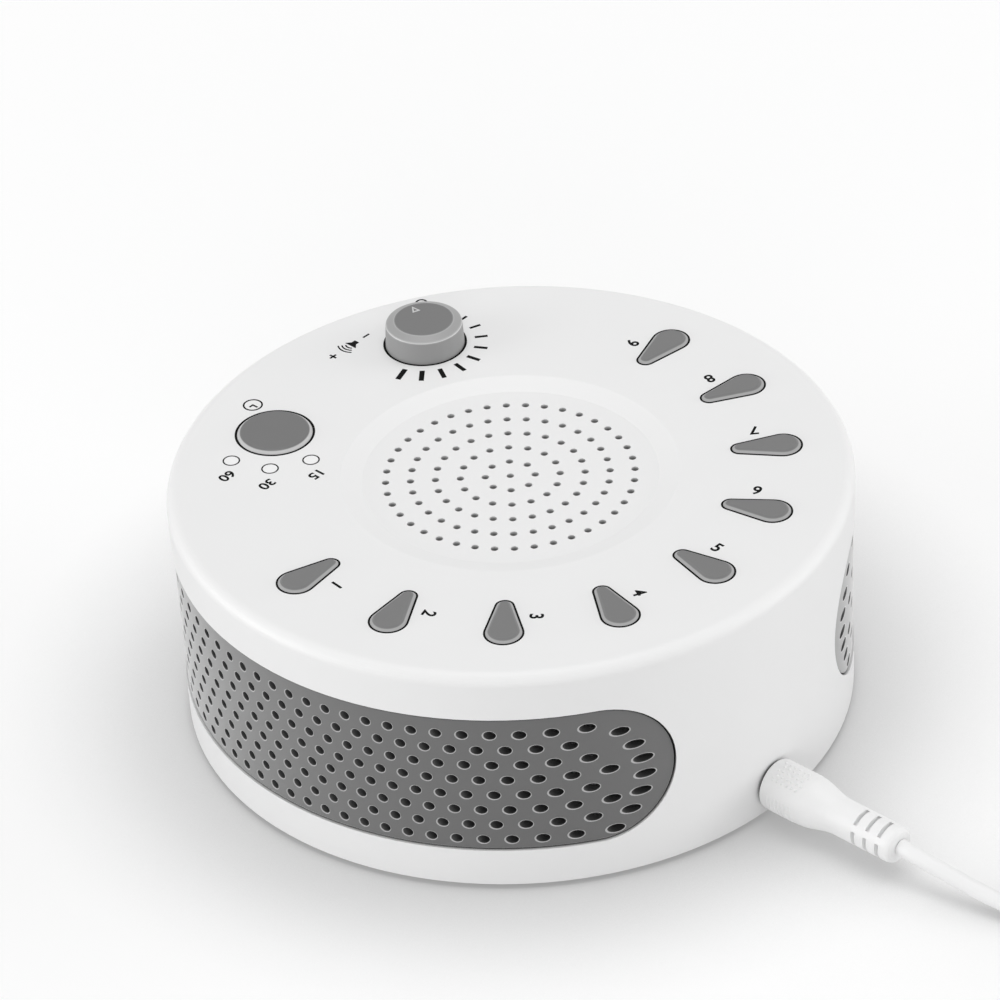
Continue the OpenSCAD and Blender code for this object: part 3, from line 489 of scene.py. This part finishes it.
def printed(name, parts, materials):
    """A printed piece from its parts, each with its points and faces."""
    piece(name, *joined(parts), materials["print_ink"], "print_ink")


def bar(centre, turn, near, far, width):
    """Points and faces of a printed bar that points away from a centre."""
    along = polar(1, turn)
    side = polar(width / 2, turn + 90)
    outline = [centre + along * r + side * s for r, s in ((near, -1), (far, -1), (far, 1), (near, 1))]
    return slab(outline, *INK)


def digits(text, centre, height, turn, stretch=1.0):
    """Points and faces of printed figures in Blender's own typeface, centred on a point and turned."""
    low, high = INK
    curve = bpy.data.curves.new("figures", "FONT")
    curve.body = text
    curve.align_x = "CENTER"
    curve.align_y = "CENTER"
    curve.size = height * MM / FIGURE_SHARE
    curve.offset = height * MM * FIGURE_WEIGHT
    curve.extrude = (high - low) / 2 * MM
    made = bpy.data.objects.new("figures", curve)
    bpy.context.scene.collection.objects.link(made)
    made.matrix_world = (
        Matrix.Translation(place(centre.x, centre.y, (low + high) / 2))
        @ Matrix.Rotation(math.radians(turn), 4, "Z")
        @ Matrix.Diagonal((stretch, 1, 1, 1))
    )
    bpy.context.view_layer.update()
    flat = bpy.data.meshes.new_from_object(made.evaluated_get(bpy.context.evaluated_depsgraph_get()))
    points = [made.matrix_world @ v.co for v in flat.vertices]
    faces = [tuple(p.vertices) for p in flat.polygons]
    bpy.data.objects.remove(made)
    bpy.data.curves.remove(curve)
    bpy.data.meshes.remove(flat)
    return points, faces


KEY_NUMBER_H = 2.7
KEY_NUMBER_AT = 50.7      # along the key
KEY_NUMBER_SIDE = 6.2     # and beside it
KEY_NUMBER_FLIP = 91      # numbers of keys that lie past this angle stand the other way up


def key_numbers(materials):
    """The keys' numbers, each beside its key."""
    parts = []
    for i in range(KEY_COUNT):
        angle = key_turn(i)
        spot = KEYS_XY + polar(KEY_NUMBER_AT, angle) + polar(KEY_NUMBER_SIDE, angle + 90)
        turn = angle if angle < KEY_NUMBER_FLIP else angle + 180
        parts.append(digits(str(i + 1), spot, KEY_NUMBER_H, turn))
    printed("key_numbers", parts, materials)


# minutes, and where the middle of each number stands on the top
TIMER_NUMBERS = {"15": (25.7, -29.9), "30": (34.6, -35.3), "60": (37.7, -43.7)}
TIMER_NUMBER_H = 2.3
TIMER_NUMBER_STRETCH = 1.1


def timer_numbers(materials):
    """The timer's minutes, each beside its light window."""
    parts = []
    for text, spot in TIMER_NUMBERS.items():
        parts.append(digits(text, Vector(spot), TIMER_NUMBER_H, 0, TIMER_NUMBER_STRETCH))
    printed("timer_numbers", parts, materials)


RING_LINE = 0.3
RING_PAST = 0.06      # how far a ring reaches past its light window


def window_rings(materials):
    """A thin dark line round each light window."""
    outer = WINDOW_R + RING_PAST
    spots = [TIMER_XY + polar(WINDOW_AT, WINDOW_STEP * i) for i in range(WINDOW_COUNT)]
    parts = [arc_slab(spot, outer - RING_LINE, outer, *INK) for spot in spots]
    printed("window_rings", parts, materials)


TICK_COUNT = 9
TICK_FIRST = 20       # angle of the longest tick
TICK_STEP = 20
TICK_NEAR = 10.5
TICK_FAR = (14.4, 12.8)     # longest and shortest tick
TICK_W = (1.15, 0.6)        # widest and narrowest tick
OFF_RING_AT = 15.35
OFF_RING_TURN = 226.3
OFF_RING_R = 1.3
OFF_RING_LINE = 0.42


def volume_scale(materials):
    """Ticks that grow with the volume, and the ring that marks the off position."""
    parts = []
    for i in range(TICK_COUNT):
        share = i / (TICK_COUNT - 1)
        far = TICK_FAR[0] + (TICK_FAR[1] - TICK_FAR[0]) * share
        width = TICK_W[0] + (TICK_W[1] - TICK_W[0]) * share
        parts.append(bar(KNOB_XY, TICK_FIRST + TICK_STEP * i, TICK_NEAR, far, width))
    off = KNOB_XY + polar(OFF_RING_AT, OFF_RING_TURN)
    parts.append(arc_slab(off, OFF_RING_R - OFF_RING_LINE, OFF_RING_R, *INK))
    printed("volume_scale", parts, materials)


POINTER_TURN = 250
POINTER_NEAR = 3.3
POINTER_FAR = 5.5
POINTER_W = 1.8
POINTER_OPEN = 0.5    # size of the open triangle in its middle, as a share


def knob_pointer(materials):
    """A light outlined triangle on the knob's top, its tip outwards."""
    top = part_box("volume_knob")[1].z / MM
    z = (top - INK_SUNK, top + INK_T)
    tip = KNOB_XY + polar(POINTER_FAR, POINTER_TURN)
    foot = KNOB_XY + polar(POINTER_NEAR, POINTER_TURN)
    side = polar(POINTER_W / 2, POINTER_TURN + 90)
    corners = [foot - side, tip, foot + side]
    middle = (corners[0] + corners[1] + corners[2]) / 3
    inner = [middle + (c - middle) * POINTER_OPEN for c in corners]
    parts = []
    for i in range(3):
        k = (i + 1) % 3
        parts.append(slab([corners[i], corners[k], inner[k], inner[i]], *z))
    piece("knob_pointer", *joined(parts), materials["mark_light"], "print_ink", "knob")


CLOCK_XY = Vector((16.1, -57.5))
CLOCK_R = 2.1
CLOCK_LINE = 0.36
CLOCK_HANDS = {90: 1.35, 0: 1.0}    # where each hand points, and how far it reaches
HAND_BACK = 0.2       # how far a hand reaches past the clock's middle
HAND_W = 0.42


def clock_sign(materials):
    """A plain clock face: a ring and two hands."""
    parts = [arc_slab(CLOCK_XY, CLOCK_R - CLOCK_LINE, CLOCK_R, *INK)]
    parts += [bar(CLOCK_XY, turn, -HAND_BACK, reach, HAND_W) for turn, reach in CLOCK_HANDS.items()]
    printed("clock_sign", parts, materials)


SPEAKER_XY = Vector((-12.4, -57))
SIGN_SCALE = 1.25     # size of the sign against the outlines below
MAGNET = ((-1.7, -0.5), (-0.9, -0.5), (-0.9, 0.5), (-1.7, 0.5))
HORN = ((-0.95, -0.5), (-0.1, -1.25), (-0.1, 1.25), (-0.95, 0.5))
WAVES_X = -0.6        # middle of the sound waves
MINUS_X = -3.9
PLUS_X = 4.1
# sizes on the machine
WAVE_RADII = (1.6, 2.4, 3.2)
WAVE_LINE = 0.34
WAVE_HALF = 40        # degrees that a wave reaches to each side
WAVE_STEPS = 12
SIGN_HALF = 0.9       # half the length of a minus
SIGN_LINE = 0.45


def volume_sign(materials):
    """A plain loudspeaker with three sound waves, between a minus and a plus."""
    def spot(x, y=0):
        return SPEAKER_XY + Vector((x, y)) * SIGN_SCALE

    parts = [slab([spot(*corner) for corner in outline], *INK) for outline in (MAGNET, HORN)]
    for radius in WAVE_RADII:
        inner = radius - WAVE_LINE
        parts.append(arc_slab(spot(WAVES_X), inner, radius, *INK, -WAVE_HALF, 2 * WAVE_HALF, WAVE_STEPS))
    for x, turn in ((MINUS_X, 0), (PLUS_X, 0), (PLUS_X, 90)):
        parts.append(bar(spot(x), turn, -SIGN_HALF, SIGN_HALF, SIGN_LINE))
    printed("volume_sign", parts, materials)


# ---- side grilles ----
BAND_H = 32.5
BAND_T = 2
BAND_INSET = 0.35     # how far a band lies behind the wall's face
BAND_HALF = 54.9      # degrees from a band's middle to the centres of its round ends
BAND_TURN = 1.05      # both bands' middles lie so far towards the back, in degrees
BAND_TURNS = {"side_band_right": BAND_TURN, "side_band_left": 180 - BAND_TURN}
BAND_LOW, BAND_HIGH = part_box("side_band_right")
BAND_Z = (BAND_LOW.z + BAND_HIGH.z) / 2 / MM
BAND_STEP = 1.2       # degrees between points along a band
BAND_END_STEPS = 36   # on each round end of a band
FLANGE_W = 1.5        # how far the flange behind a band reaches past its edge
FLANGE_IN = 0.3       # and how far inside it
FLANGE_BACK = 1.9     # where that flange starts, behind the band's face
FLANGE_T = 1
EDGE_W = 0.45         # bevel round a band: a stretch like its face, then a black line of painted shade
EDGE_T = 0.3
EDGE_SHADOW_SHARE = 0.5       # share of the bevel's width that the black line of painted shade takes
VENT_R = 1
VENT_SIDES = 20
VENT_RIM_W = 0.17     # bevel round a hole
VENT_RIM_T = 0.15
SHALLOW = 0.3         # share of its depth that a bevel has reached at its turn
VENT_ROWS = 8
VENT_ROW = 3.74       # height of a row
VENT_PITCH = 4.46     # between holes in a row
VENT_Z = BAND_Z - 0.7
VENT_ARC_COUNT = 7    # holes in the arc at each end of a band
VENT_ARC_STEP = 4
VENT_ARC_DROP = 1.3   # how far an arc's middle lies below that of the rows
VENT_ARC_IN = 3.4     # from a band's end to its arc
VENT_ARC_GAP = 2.3    # least room between a row's last hole and the arc
VENT_ARC_BEND = 0.0195
VENT_END_PULL = 0.1   # towards a band's ends its holes run nearly square to its face


def wall_r(z):
    """Radius of the housing's wall at a height."""
    return WALL_R - (TOP_Z - z) * math.tan(math.radians(DRAFT))


def vent_arc(z):
    """How far across from a band's middle its arc of holes lies at a height."""
    end = WALL_R * math.sin(math.radians(BAND_HALF) + BAND_H / 2 / WALL_R)
    return end - VENT_ARC_IN - VENT_ARC_BEND * (z - VENT_Z) ** 2


def vent_places():
    """Places of one band's holes, across and up: staggered rows, and an arc at each end."""
    places = []
    for row in range(VENT_ROWS):
        z = VENT_Z + ((VENT_ROWS - 1) / 2 - row) * VENT_ROW
        shift = 0 if row % 2 else 0.5
        last = math.floor((vent_arc(z) - VENT_ARC_GAP) / VENT_PITCH - shift)
        first = -last - round(2 * shift)
        places += [((k + shift) * VENT_PITCH, z) for k in range(first, last + 1)]
    for side in (-1, 1):
        for i in range(VENT_ARC_COUNT):
            z = VENT_Z - VENT_ARC_DROP + (i - (VENT_ARC_COUNT - 1) / 2) * VENT_ARC_STEP
            places.append((side * vent_arc(z), z))
    return places


def band_outline(grown, depth):
    """A band's outline, grown by so much, at a depth behind its face, with its middle along +X."""
    end_r = BAND_H / 2 + grown
    steps = round(2 * BAND_HALF / BAND_STEP)
    turns = [(BAND_HALF * (1 - 2 * i / steps), 0, end_r) for i in range(steps)]
    arc = [90 + 180 * i / BAND_END_STEPS for i in range(BAND_END_STEPS)]
    turns += [(-BAND_HALF, *polar(end_r, a)) for a in arc]
    turns += [(-turn, 0, -up) for turn, _, up in turns[:steps]]
    turns += [(BAND_HALF, *polar(end_r, a + 180)) for a in arc]
    points = []
    for turn, across, up in turns:
        z = BAND_Z + up
        radius = wall_r(z) - BAND_INSET - depth
        angle = math.radians(turn) + math.asin(across / radius)
        points.append(Vector((radius * math.cos(angle), radius * math.sin(angle), z)))
    return points


def band_hole(across, up, radius, depth, sunk, pull):
    """A ring round a hole at a depth behind a band's face, sunk along X by so much more.

    Its way in runs square to the face with a pull of 0, and along X with a pull of 1.
    """
    points = []
    for i in range(VENT_SIDES):
        y, z = Vector((across, up)) + polar(radius, 360 * i / VENT_SIDES)
        face = wall_r(z) - BAND_INSET
        at = face - depth
        angle = math.asin(y / face)
        angle += pull * (math.asin(y / at) - angle)
        points.append(Vector((at * math.cos(angle) - sunk, at * math.sin(angle), z)))
    return points


MERGE_BELOW = 1e-5    # points of a face that lie closer than this are one


def face_between(points, rings):
    """Triangles of a curved face that fills the first ring and leaves the others open.

    A ring is the number of its first point and its count of points.
    """
    flat, edges, owner = [], [], []
    for number, (start, count) in enumerate(rings):
        first = len(flat)
        for i in range(count):
            p = points[start + i]
            flat.append(Vector((math.atan2(p.y, p.x) * WALL_R, p.z)))
            edges.append((first + i, first + (i + 1) % count))
            owner.append((number, start + i))
    _, _, triangles, origins, _, _ = delaunay_2d_cdt(flat, edges, [], 0, MERGE_BELOW)
    kept = []
    for triangle in triangles:
        corners = [owner[origins[v][0]] for v in triangle]
        numbers = {number for number, _ in corners}
        if len(numbers) > 1 or numbers == {0}:
            kept.append(tuple(index for _, index in corners))
    return kept


def follow_wall(mesh, polygons):
    """Shades faces as part of the wall's cone, however they are divided."""
    lean = math.tan(math.radians(DRAFT))
    normals = [Vector((0, 0, 0))] * len(mesh.loops)    # a zero leaves the normal that is there
    for polygon in polygons:
        for loop in polygon.loop_indices:
            spot = mesh.vertices[mesh.loops[loop].vertex_index].co
            out = Vector((spot.x, spot.y, 0)).normalized()
            normals[loop] = (out - Vector((0, 0, lean))).normalized()
    mesh.normals_split_custom_set(normals)


def side_grille(node, turn, materials):
    """A drilled band bent to the wall, with hole rims in a lighter grey of painted highlight, a black
    line of painted shade round it and the flange behind it.
    """
    # from the face over the bevel and the edge to the flange, and back inside it
    edge_rings = [
        band_outline(-EDGE_W, 0),
        band_outline(-EDGE_W * EDGE_SHADOW_SHARE, EDGE_T * SHALLOW),
        band_outline(0, EDGE_T),
        band_outline(0, FLANGE_BACK),
        band_outline(FLANGE_W, FLANGE_BACK),
        band_outline(FLANGE_W, FLANGE_BACK + FLANGE_T),
        band_outline(-FLANGE_IN, FLANGE_BACK + FLANGE_T),
        band_outline(-FLANGE_IN, BAND_T),
    ]
    # radius, depth and sinking of the rings from a hole's rim to its far end
    hole_rings = [
        (VENT_R + VENT_RIM_W, 0, 0),
        (VENT_R + VENT_RIM_W * SHALLOW, 0, VENT_RIM_T * SHALLOW),
        (VENT_R, 0, VENT_RIM_T),
        (VENT_R, BAND_T, 0),
    ]
    points, starts = [], []
    sides, walls, rims, line = [], [], [], []
    for ring in edge_rings:
        starts.append(len(points))
        points += ring
    count = len(edge_rings[0])
    # the bevel's second stretch is black: a line of painted shade
    for k in range(len(edge_rings) - 1):
        strip(line if k == 1 else sides, starts[k], starts[k + 1], count)
    front = [(starts[0], count)]
    back = [(starts[-1], count)]
    for across, up in vent_places():
        pull = 1 - (1 - VENT_END_PULL) * (across / WALL_R) ** 2
        begins = []
        for radius, depth, sunk in hole_rings:
            begins.append(len(points))
            points += band_hole(across, up, radius, depth, sunk, pull)
        for k in range(len(hole_rings) - 1):
            strip(rims if k < 2 else walls, begins[k], begins[k + 1], VENT_SIDES)
        front.append((begins[0], VENT_SIDES))
        back.append((begins[-1], VENT_SIDES))
    face = face_between(points, front)
    walls += face_between(points, back)
    spin = Matrix.Rotation(math.radians(turn), 3, "Z")
    made = piece(
        node.replace("side_band", "side_grille"), [spin @ p * MM for p in points],
        face + sides + walls + rims + line, materials["band_grey"], "band_grey",
    )
    mesh = made.data
    # materials for the hole walls, for the rims' painted highlight and for the edge's painted shade
    for name in ("band_inside", "band_rim_highlight", "gap_shadow_black"):
        mesh.materials.append(materials[name])
    kinds = [0] * len(face + sides) + [1] * len(walls) + [2] * len(rims) + [3] * len(line)
    mesh.polygons.foreach_set("material_index", kinds)
    follow_wall(mesh, mesh.polygons[:len(face)])
    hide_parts(node)


# ---- floor, light and background ----
WHITE_SEEN = 0.973    # what an unshaded floor and the background look like


def seen_factor(tree):
    """1 for rays that show the background itself: from the camera, from gloss and through glass."""
    path = tree.nodes.new("ShaderNodeLightPath")
    total = path.outputs["Is Camera Ray"]
    for name in ("Is Glossy Ray", "Is Transmission Ray"):
        add = tree.nodes.new("ShaderNodeMath")
        add.operation = "MAXIMUM"
        tree.links.new(total, add.inputs[0])
        tree.links.new(path.outputs[name], add.inputs[1])
        total = add.outputs[0]
    return total


def show_or_light(tree, kind, seen, light):
    """Ends a material or a world in one shader that is seen and another that lights the object."""
    mix = tree.nodes.new("ShaderNodeMixShader")
    tree.links.new(seen_factor(tree), mix.inputs[0])
    tree.links.new(light.outputs[0], mix.inputs[1])
    tree.links.new(seen.outputs[0], mix.inputs[2])
    tree.links.new(mix.outputs[0], tree.nodes.new(kind).inputs["Surface"])


FLOOR_SIZE = 12000
FLOOR_COLOUR = (0.8, 0.8, 0.8, 1)    # as it lights the object
FLOOR_SHADE = 0.6     # share of the seen floor that answers to light and shadow
FLOOR_LIGHT = 0.97    # what the lamps and the world lay on the open floor
PAINTED_SHADOW_REACH = 42    # how far from the object its painted shadow reaches on the floor, in millimetres
PAINTED_SHADOW_DEPTH = 0.66    # how much the painted shadow would darken a fully covered floor
PAINTED_SHADOW_LEAST = 0.45  # at points more closed in than this, the painted shadow grows no darker


def painted_contact_shadow(tree, level):
    """A grey with a painted shadow, which darkens it where something stands close above the floor."""
    least = tree.nodes.new("ShaderNodeMath")
    least.operation = "MAXIMUM"
    least.inputs[1].default_value = PAINTED_SHADOW_LEAST
    tree.links.new(openness_for_painted_shade(tree, PAINTED_SHADOW_REACH), least.inputs[0])
    low = level * (1 - PAINTED_SHADOW_DEPTH)
    return mixed(tree, least.outputs[0], (low, low, low, 1), (level, level, level, 1))


def make_floor():
    """A plain pale floor that shows the object's real shadow, deepened near the object by a painted
    shadow, and ends in the background's white.
    """
    mesh = bpy.data.meshes.new("floor")
    half = FLOOR_SIZE / 2 * MM
    corners = [(-half, -half, 0), (half, -half, 0), (half, half, 0), (-half, half, 0)]
    mesh.from_pydata(corners, [], [(0, 1, 2, 3)])
    floor = bpy.data.objects.new("floor", mesh)
    bpy.context.scene.collection.objects.link(floor)
    made = bpy.data.materials.new("floor")
    made.use_nodes = True
    tree = made.node_tree
    tree.nodes.clear()
    plain = node_of(tree, "ShaderNodeBsdfDiffuse", Color=FLOOR_COLOUR)
    shade = tree.nodes.new("ShaderNodeBsdfDiffuse")
    # painted shadow near the object, on both the lit share and the glow
    tree.links.new(painted_contact_shadow(tree, FLOOR_SHADE), shade.inputs["Color"])
    glow = node_of(tree, "ShaderNodeEmission", Strength=1)
    tree.links.new(painted_contact_shadow(tree, WHITE_SEEN - FLOOR_SHADE * FLOOR_LIGHT), glow.inputs["Color"])
    seen = tree.nodes.new("ShaderNodeAddShader")
    tree.links.new(shade.outputs[0], seen.inputs[0])
    tree.links.new(glow.outputs[0], seen.inputs[1])
    show_or_light(tree, "ShaderNodeOutputMaterial", seen, plain)
    mesh.materials.append(made)


WORLD_LEVEL = 0.5


def make_world():
    """Even light from all sides, in front of a white background."""
    world = bpy.data.worlds.new("world")
    world.use_nodes = True
    bpy.context.scene.world = world
    tree = world.node_tree
    tree.nodes.clear()
    light = node_of(tree, "ShaderNodeBackground", Color=(1, 1, 1, 1), Strength=WORLD_LEVEL)
    seen = node_of(tree, "ShaderNodeBackground", Color=(1, 1, 1, 1), Strength=WHITE_SEEN)
    show_or_light(tree, "ShaderNodeOutputWorld", seen, light)


VIEW_AZIMUTH = 44.3   # the camera's side, to within half a degree, from +X towards +Y
LAMP_AIM = Vector((0, 0, 30))
LAMP_AWAY = 3200
# degrees from the camera's side, degrees above the floor, width in millimetres, watts
LAMPS = {
    "key_behind": (180, 84, 2400, 38),
    "fill_front": (0, 10, 2000, 26),
    "fill_left": (-80, 10, 2000, 35),
    "fill_right": (95, 14, 2000, 31),
    "gloss_left": (-90, 4, 3000, 50),
}
GLOSS_ONLY = ("gloss_left",)    # lamps that show in gloss and light nothing diffusely


def make_lights():
    """Large round lamps that all aim at the object."""
    for name, (turn, height, width, watts) in LAMPS.items():
        data = bpy.data.lights.new(name, "AREA")
        data.shape = "DISK"
        data.size = width * MM
        data.energy = watts
        lamp = bpy.data.objects.new(name, data)
        bpy.context.scene.collection.objects.link(lamp)
        away, up = polar(LAMP_AWAY, height)
        across = polar(away, VIEW_AZIMUTH + turn)
        lamp.location = place(across.x, across.y, up)
        lamp.rotation_mode = "QUATERNION"
        lamp.rotation_quaternion = (LAMP_AIM * MM - lamp.location).to_track_quat("-Z", "Y")
        lamp.visible_diffuse = name not in GLOSS_ONLY


# ---- plug ----
PLUG_LOW, PLUG_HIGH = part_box("dc_plug")
PLUG_Z = (PLUG_LOW.z + PLUG_HIGH.z) / 2 / MM
PLUG_R = (PLUG_HIGH.x - PLUG_LOW.x) / 2 / MM
PAD_TURN = -15        # turn of the grip pads round the plug's axis
PAD_FIRST = 2.1       # first dots and ribs, from the plug's face
PAD_SUNK = 0.05       # how deep dots and ribs reach into the plug
DOT_ROWS = 5          # rows of dots in a pad, side by side
DOT_COUNT = 6         # dots in a row
DOT_STEP = 1.2
DOT_R = 0.36
DOT_H = 0.26
DOT_SIDES = 8
DOT_PROFILE = ((1, -PAD_SUNK), (0.8, DOT_H * 0.6), (0.4, DOT_H))    # shares of its radius, and heights
RIB_COUNT = 7
RIB_STEP = 1
RIB_SPAN = 26         # degrees that a rib reaches to each side
RIB_W = 0.5
RIB_H = 0.24
RIB_STEPS = 12
RIB_END = 0.3         # height of a rib at its ends, as a share
RIB_RISE = 3          # how fast it rises from there


def on_plug(radius, degrees, along):
    """A point round the plug's axis, this far from its face, in metres."""
    across = polar(radius, degrees)
    return place(across.x, PLUG_LOW.y / MM + along, PLUG_Z + across.y)


def plug_dot(degrees, along):
    """Points and faces of a low round dot on the plug."""
    degree = math.degrees(1 / PLUG_R)
    points, faces = [], []
    for share, height in DOT_PROFILE:
        for spot in circle(Vector((0, 0)), DOT_R * share, DOT_SIDES):
            points.append(on_plug(PLUG_R + height, degrees + spot.x * degree, along + spot.y))
    for start in (0, DOT_SIDES):
        strip(faces, start, start + DOT_SIDES, DOT_SIDES)
    faces += [tuple(range(DOT_SIDES - 1, -1, -1)), tuple(range(2 * DOT_SIDES, 3 * DOT_SIDES))]
    return points, faces


def plug_rib(degrees, along):
    """Points and faces of a rib bent round the plug, lower towards its ends."""
    points, faces = [], []
    for i in range(RIB_STEPS + 1):
        turn = degrees + RIB_SPAN * (2 * i / RIB_STEPS - 1)
        from_end = min(i, RIB_STEPS - i) / RIB_STEPS
        high = RIB_H * min(1, RIB_END + RIB_RISE * from_end)
        profile = ((-0.5, -PAD_SUNK), (-0.25, high), (0.25, high), (0.5, -PAD_SUNK))
        points += [on_plug(PLUG_R + height, turn, along + RIB_W * share) for share, height in profile]
    for i in range(RIB_STEPS):
        strip(faces, 4 * i, 4 * i + 4, 4)
    faces += [(0, 1, 2, 3), tuple(4 * RIB_STEPS + k for k in (3, 2, 1, 0))]
    return points, faces


def plug_pads(materials):
    """Dots above and below, ribs at both sides, to grip the plug by."""
    dots, ribs = [], []
    turn_step = math.degrees(DOT_STEP / PLUG_R)
    for side in (90, 270):
        for row in range(DOT_ROWS):
            turn = PAD_TURN + side + (row - (DOT_ROWS - 1) / 2) * turn_step
            for k in range(DOT_COUNT):
                dots.append(plug_dot(turn, PAD_FIRST + (k + row % 2 / 2) * DOT_STEP))
    for side in (0, 180):
        ribs += [plug_rib(PAD_TURN + side, PAD_FIRST + k * RIB_STEP) for k in range(RIB_COUNT)]
    return [
        piece("plug_dots", *joined(dots), materials["white_lead"], "white_lead"),
        piece("plug_ribs", *joined(ribs), materials["white_lead"], "white_lead"),
    ]


# ---- lead ----
CORD_D = 3.5
LEAD_Y = PLUG_HIGH.y / MM    # where the lead leaves its strain relief


def on_lead(*points):
    """Points given from the end of the strain relief, in the part's own frame."""
    return [(x, y + LEAD_Y, z) for x, y, z in points]


CORD_ROUTE = on_lead(
    (0, 0.1, 7.3), (0, 3, 7.1), (-0.4, 7, 6.4), (-1, 11, 5.6), (-1.6, 15, 4.7),
    (-2.4, 19, 3.8), (-3.2, 23, 3.1), (-4, 27, 2.5), (-4.8, 32, 2.1), (-5.6, 37, 1.9),
    (-6.4, 42, 1.9), (-7, 47, 2), (-7.3, 51, 2.2), (-7.5, 55, 2.4),
)
TAIL_ROUTE = on_lead(
    (-54.6, 74.2, 5.9), (-56.4, 71.6, 5.9), (-58.2, 68, 5.8), (-60.2, 63.6, 5.6), (-62, 59, 5.2),
    (-63.5, 52.5, 5.2), (-66, 48.2, 4.3), (-68.3, 44.2, 4),
)
COIL_XY = Vector((-33.8, LEAD_Y + 58))
COIL_R = 21
TIE_T = 0.6          # the coil lies on its tie
# where each turn of the coil lies: seats across, from the middle of the winding, and layers up
COIL_SEATS = [(1.5, 0), (0.5, 0), (-0.5, 0), (-1.5, 0), (-1.5, 1), (-0.5, 1), (0.5, 1), (1.5, 1)]
COIL_FIRST = -7      # angles at which the coil starts and ends
COIL_LAST = 142
TURN_STEPS = 36
CROSSING = 60        # degrees over which the lead passes to its next seat
CLIMB_AHEAD = 50     # degrees by which the climb and all later crossings come earlier


def eased(share):
    """A share from 0 to 1 that starts and ends softly."""
    share = min(max(share, 0.0), 1.0)
    return share * share * (3 - 2 * share)


def coil_route():
    """The turns of the coil, one seat after another, as points in millimetres."""
    last_seat = len(COIL_SEATS) - 1
    climb = next(k for k in range(last_seat) if COIL_SEATS[k + 1][1] > COIL_SEATS[k][1])
    total = 360 * last_seat + COIL_LAST - COIL_FIRST
    steps = round(total / 360 * TURN_STEPS)
    points = []
    for step in range(steps + 1):
        swept = total * step / steps
        across, layer = COIL_SEATS[0]
        for k in range(last_seat):
            ends = 360 * (k + 1) - CLIMB_AHEAD * ((k >= climb) + (k > climb))
            passed = eased((swept - ends + CROSSING) / CROSSING)
            across += passed * (COIL_SEATS[k + 1][0] - COIL_SEATS[k][0])
            layer += passed * (COIL_SEATS[k + 1][1] - COIL_SEATS[k][1])
        spot = COIL_XY + polar(COIL_R + across * CORD_D, COIL_FIRST + swept)
        points.append((spot.x, spot.y, TIE_T + CORD_D * (layer + 0.5)))
    return points


ROUTE_STRETCHES = 4  # between each two points of a route


def smooth_route(points):
    """A smooth curve through the points of a route."""
    line = [Vector(p) for p in points]
    full = [line[0] * 2 - line[1]] + line + [line[-1] * 2 - line[-2]]
    made = []
    for i in range(1, len(full) - 2):
        a, b, c, d = full[i - 1:i + 3]
        square = 2 * a - 5 * b + 4 * c - d
        cube = 3 * b - a - 3 * c + d
        for k in range(ROUTE_STRETCHES):
            t = k / ROUTE_STRETCHES
            made.append(0.5 * (2 * b + (c - a) * t + square * t * t + cube * t ** 3))
    made.append(line[-1])
    return made


CORD_ROUNDNESS = 4   # Blender's bevel resolution


def make_lead(materials, on_it):
    """The lead from the plug to the USB plug, coiled behind the machine. The pieces given as on_it are
    not used.
    """
    route = smooth_route(CORD_ROUTE + coil_route()[1:-1] + TAIL_ROUTE)
    curve = bpy.data.curves.new("power_lead", "CURVE")
    curve.dimensions = "3D"
    curve.bevel_depth = CORD_D / 2 * MM
    curve.bevel_resolution = CORD_ROUNDNESS
    curve.use_fill_caps = True
    line = curve.splines.new("POLY")
    line.points.add(len(route) - 1)
    for point, spot in zip(line.points, route):
        point.co = (*(spot * MM), 1)
    line.use_smooth = True
    lead = bpy.data.objects.new("power_lead", curve)
    bpy.context.scene.collection.objects.link(lead)
    curve.materials.append(materials["white_lead"])
    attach(lead, HOUSING)
    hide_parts("power_cord", "cord_coil", "cord_tail")


# ---- the object ----
# nodes with a finish of their own; a numbered node goes by its name without the number
OWN_FINISH = {"sound_key_": "key_plastic", "timer_button": "timer_plastic"}


def dress_cad(materials):
    """Gives every carried-over node its own finish, or else the one that the record names for it."""
    for row in frame["record"]["subparts"]:
        mesh = frame["nodes"][row["node"]].data
        finish = OWN_FINISH.get(row["node"].rstrip("0123456789"), row["material_slot"])
        mesh.materials.clear()
        mesh.materials.append(materials[finish])


def main():
    """The camera and the lead come first, then the rest of the object, then the room."""
    materials = make_materials()
    make_camera()
    make_lead(materials, plug_pads(materials))
    dress_cad(materials)
    for node, turn in BAND_TURNS.items():
        side_grille(node, turn, materials)
    painted_gap_shadows(materials)
    key_numbers(materials)
    timer_numbers(materials)
    window_rings(materials)
    volume_scale(materials)
    knob_pointer(materials)
    clock_sign(materials)
    volume_sign(materials)
    make_floor()
    make_world()
    make_lights()
    bpy.context.scene.view_settings.view_transform = "Standard"


main()
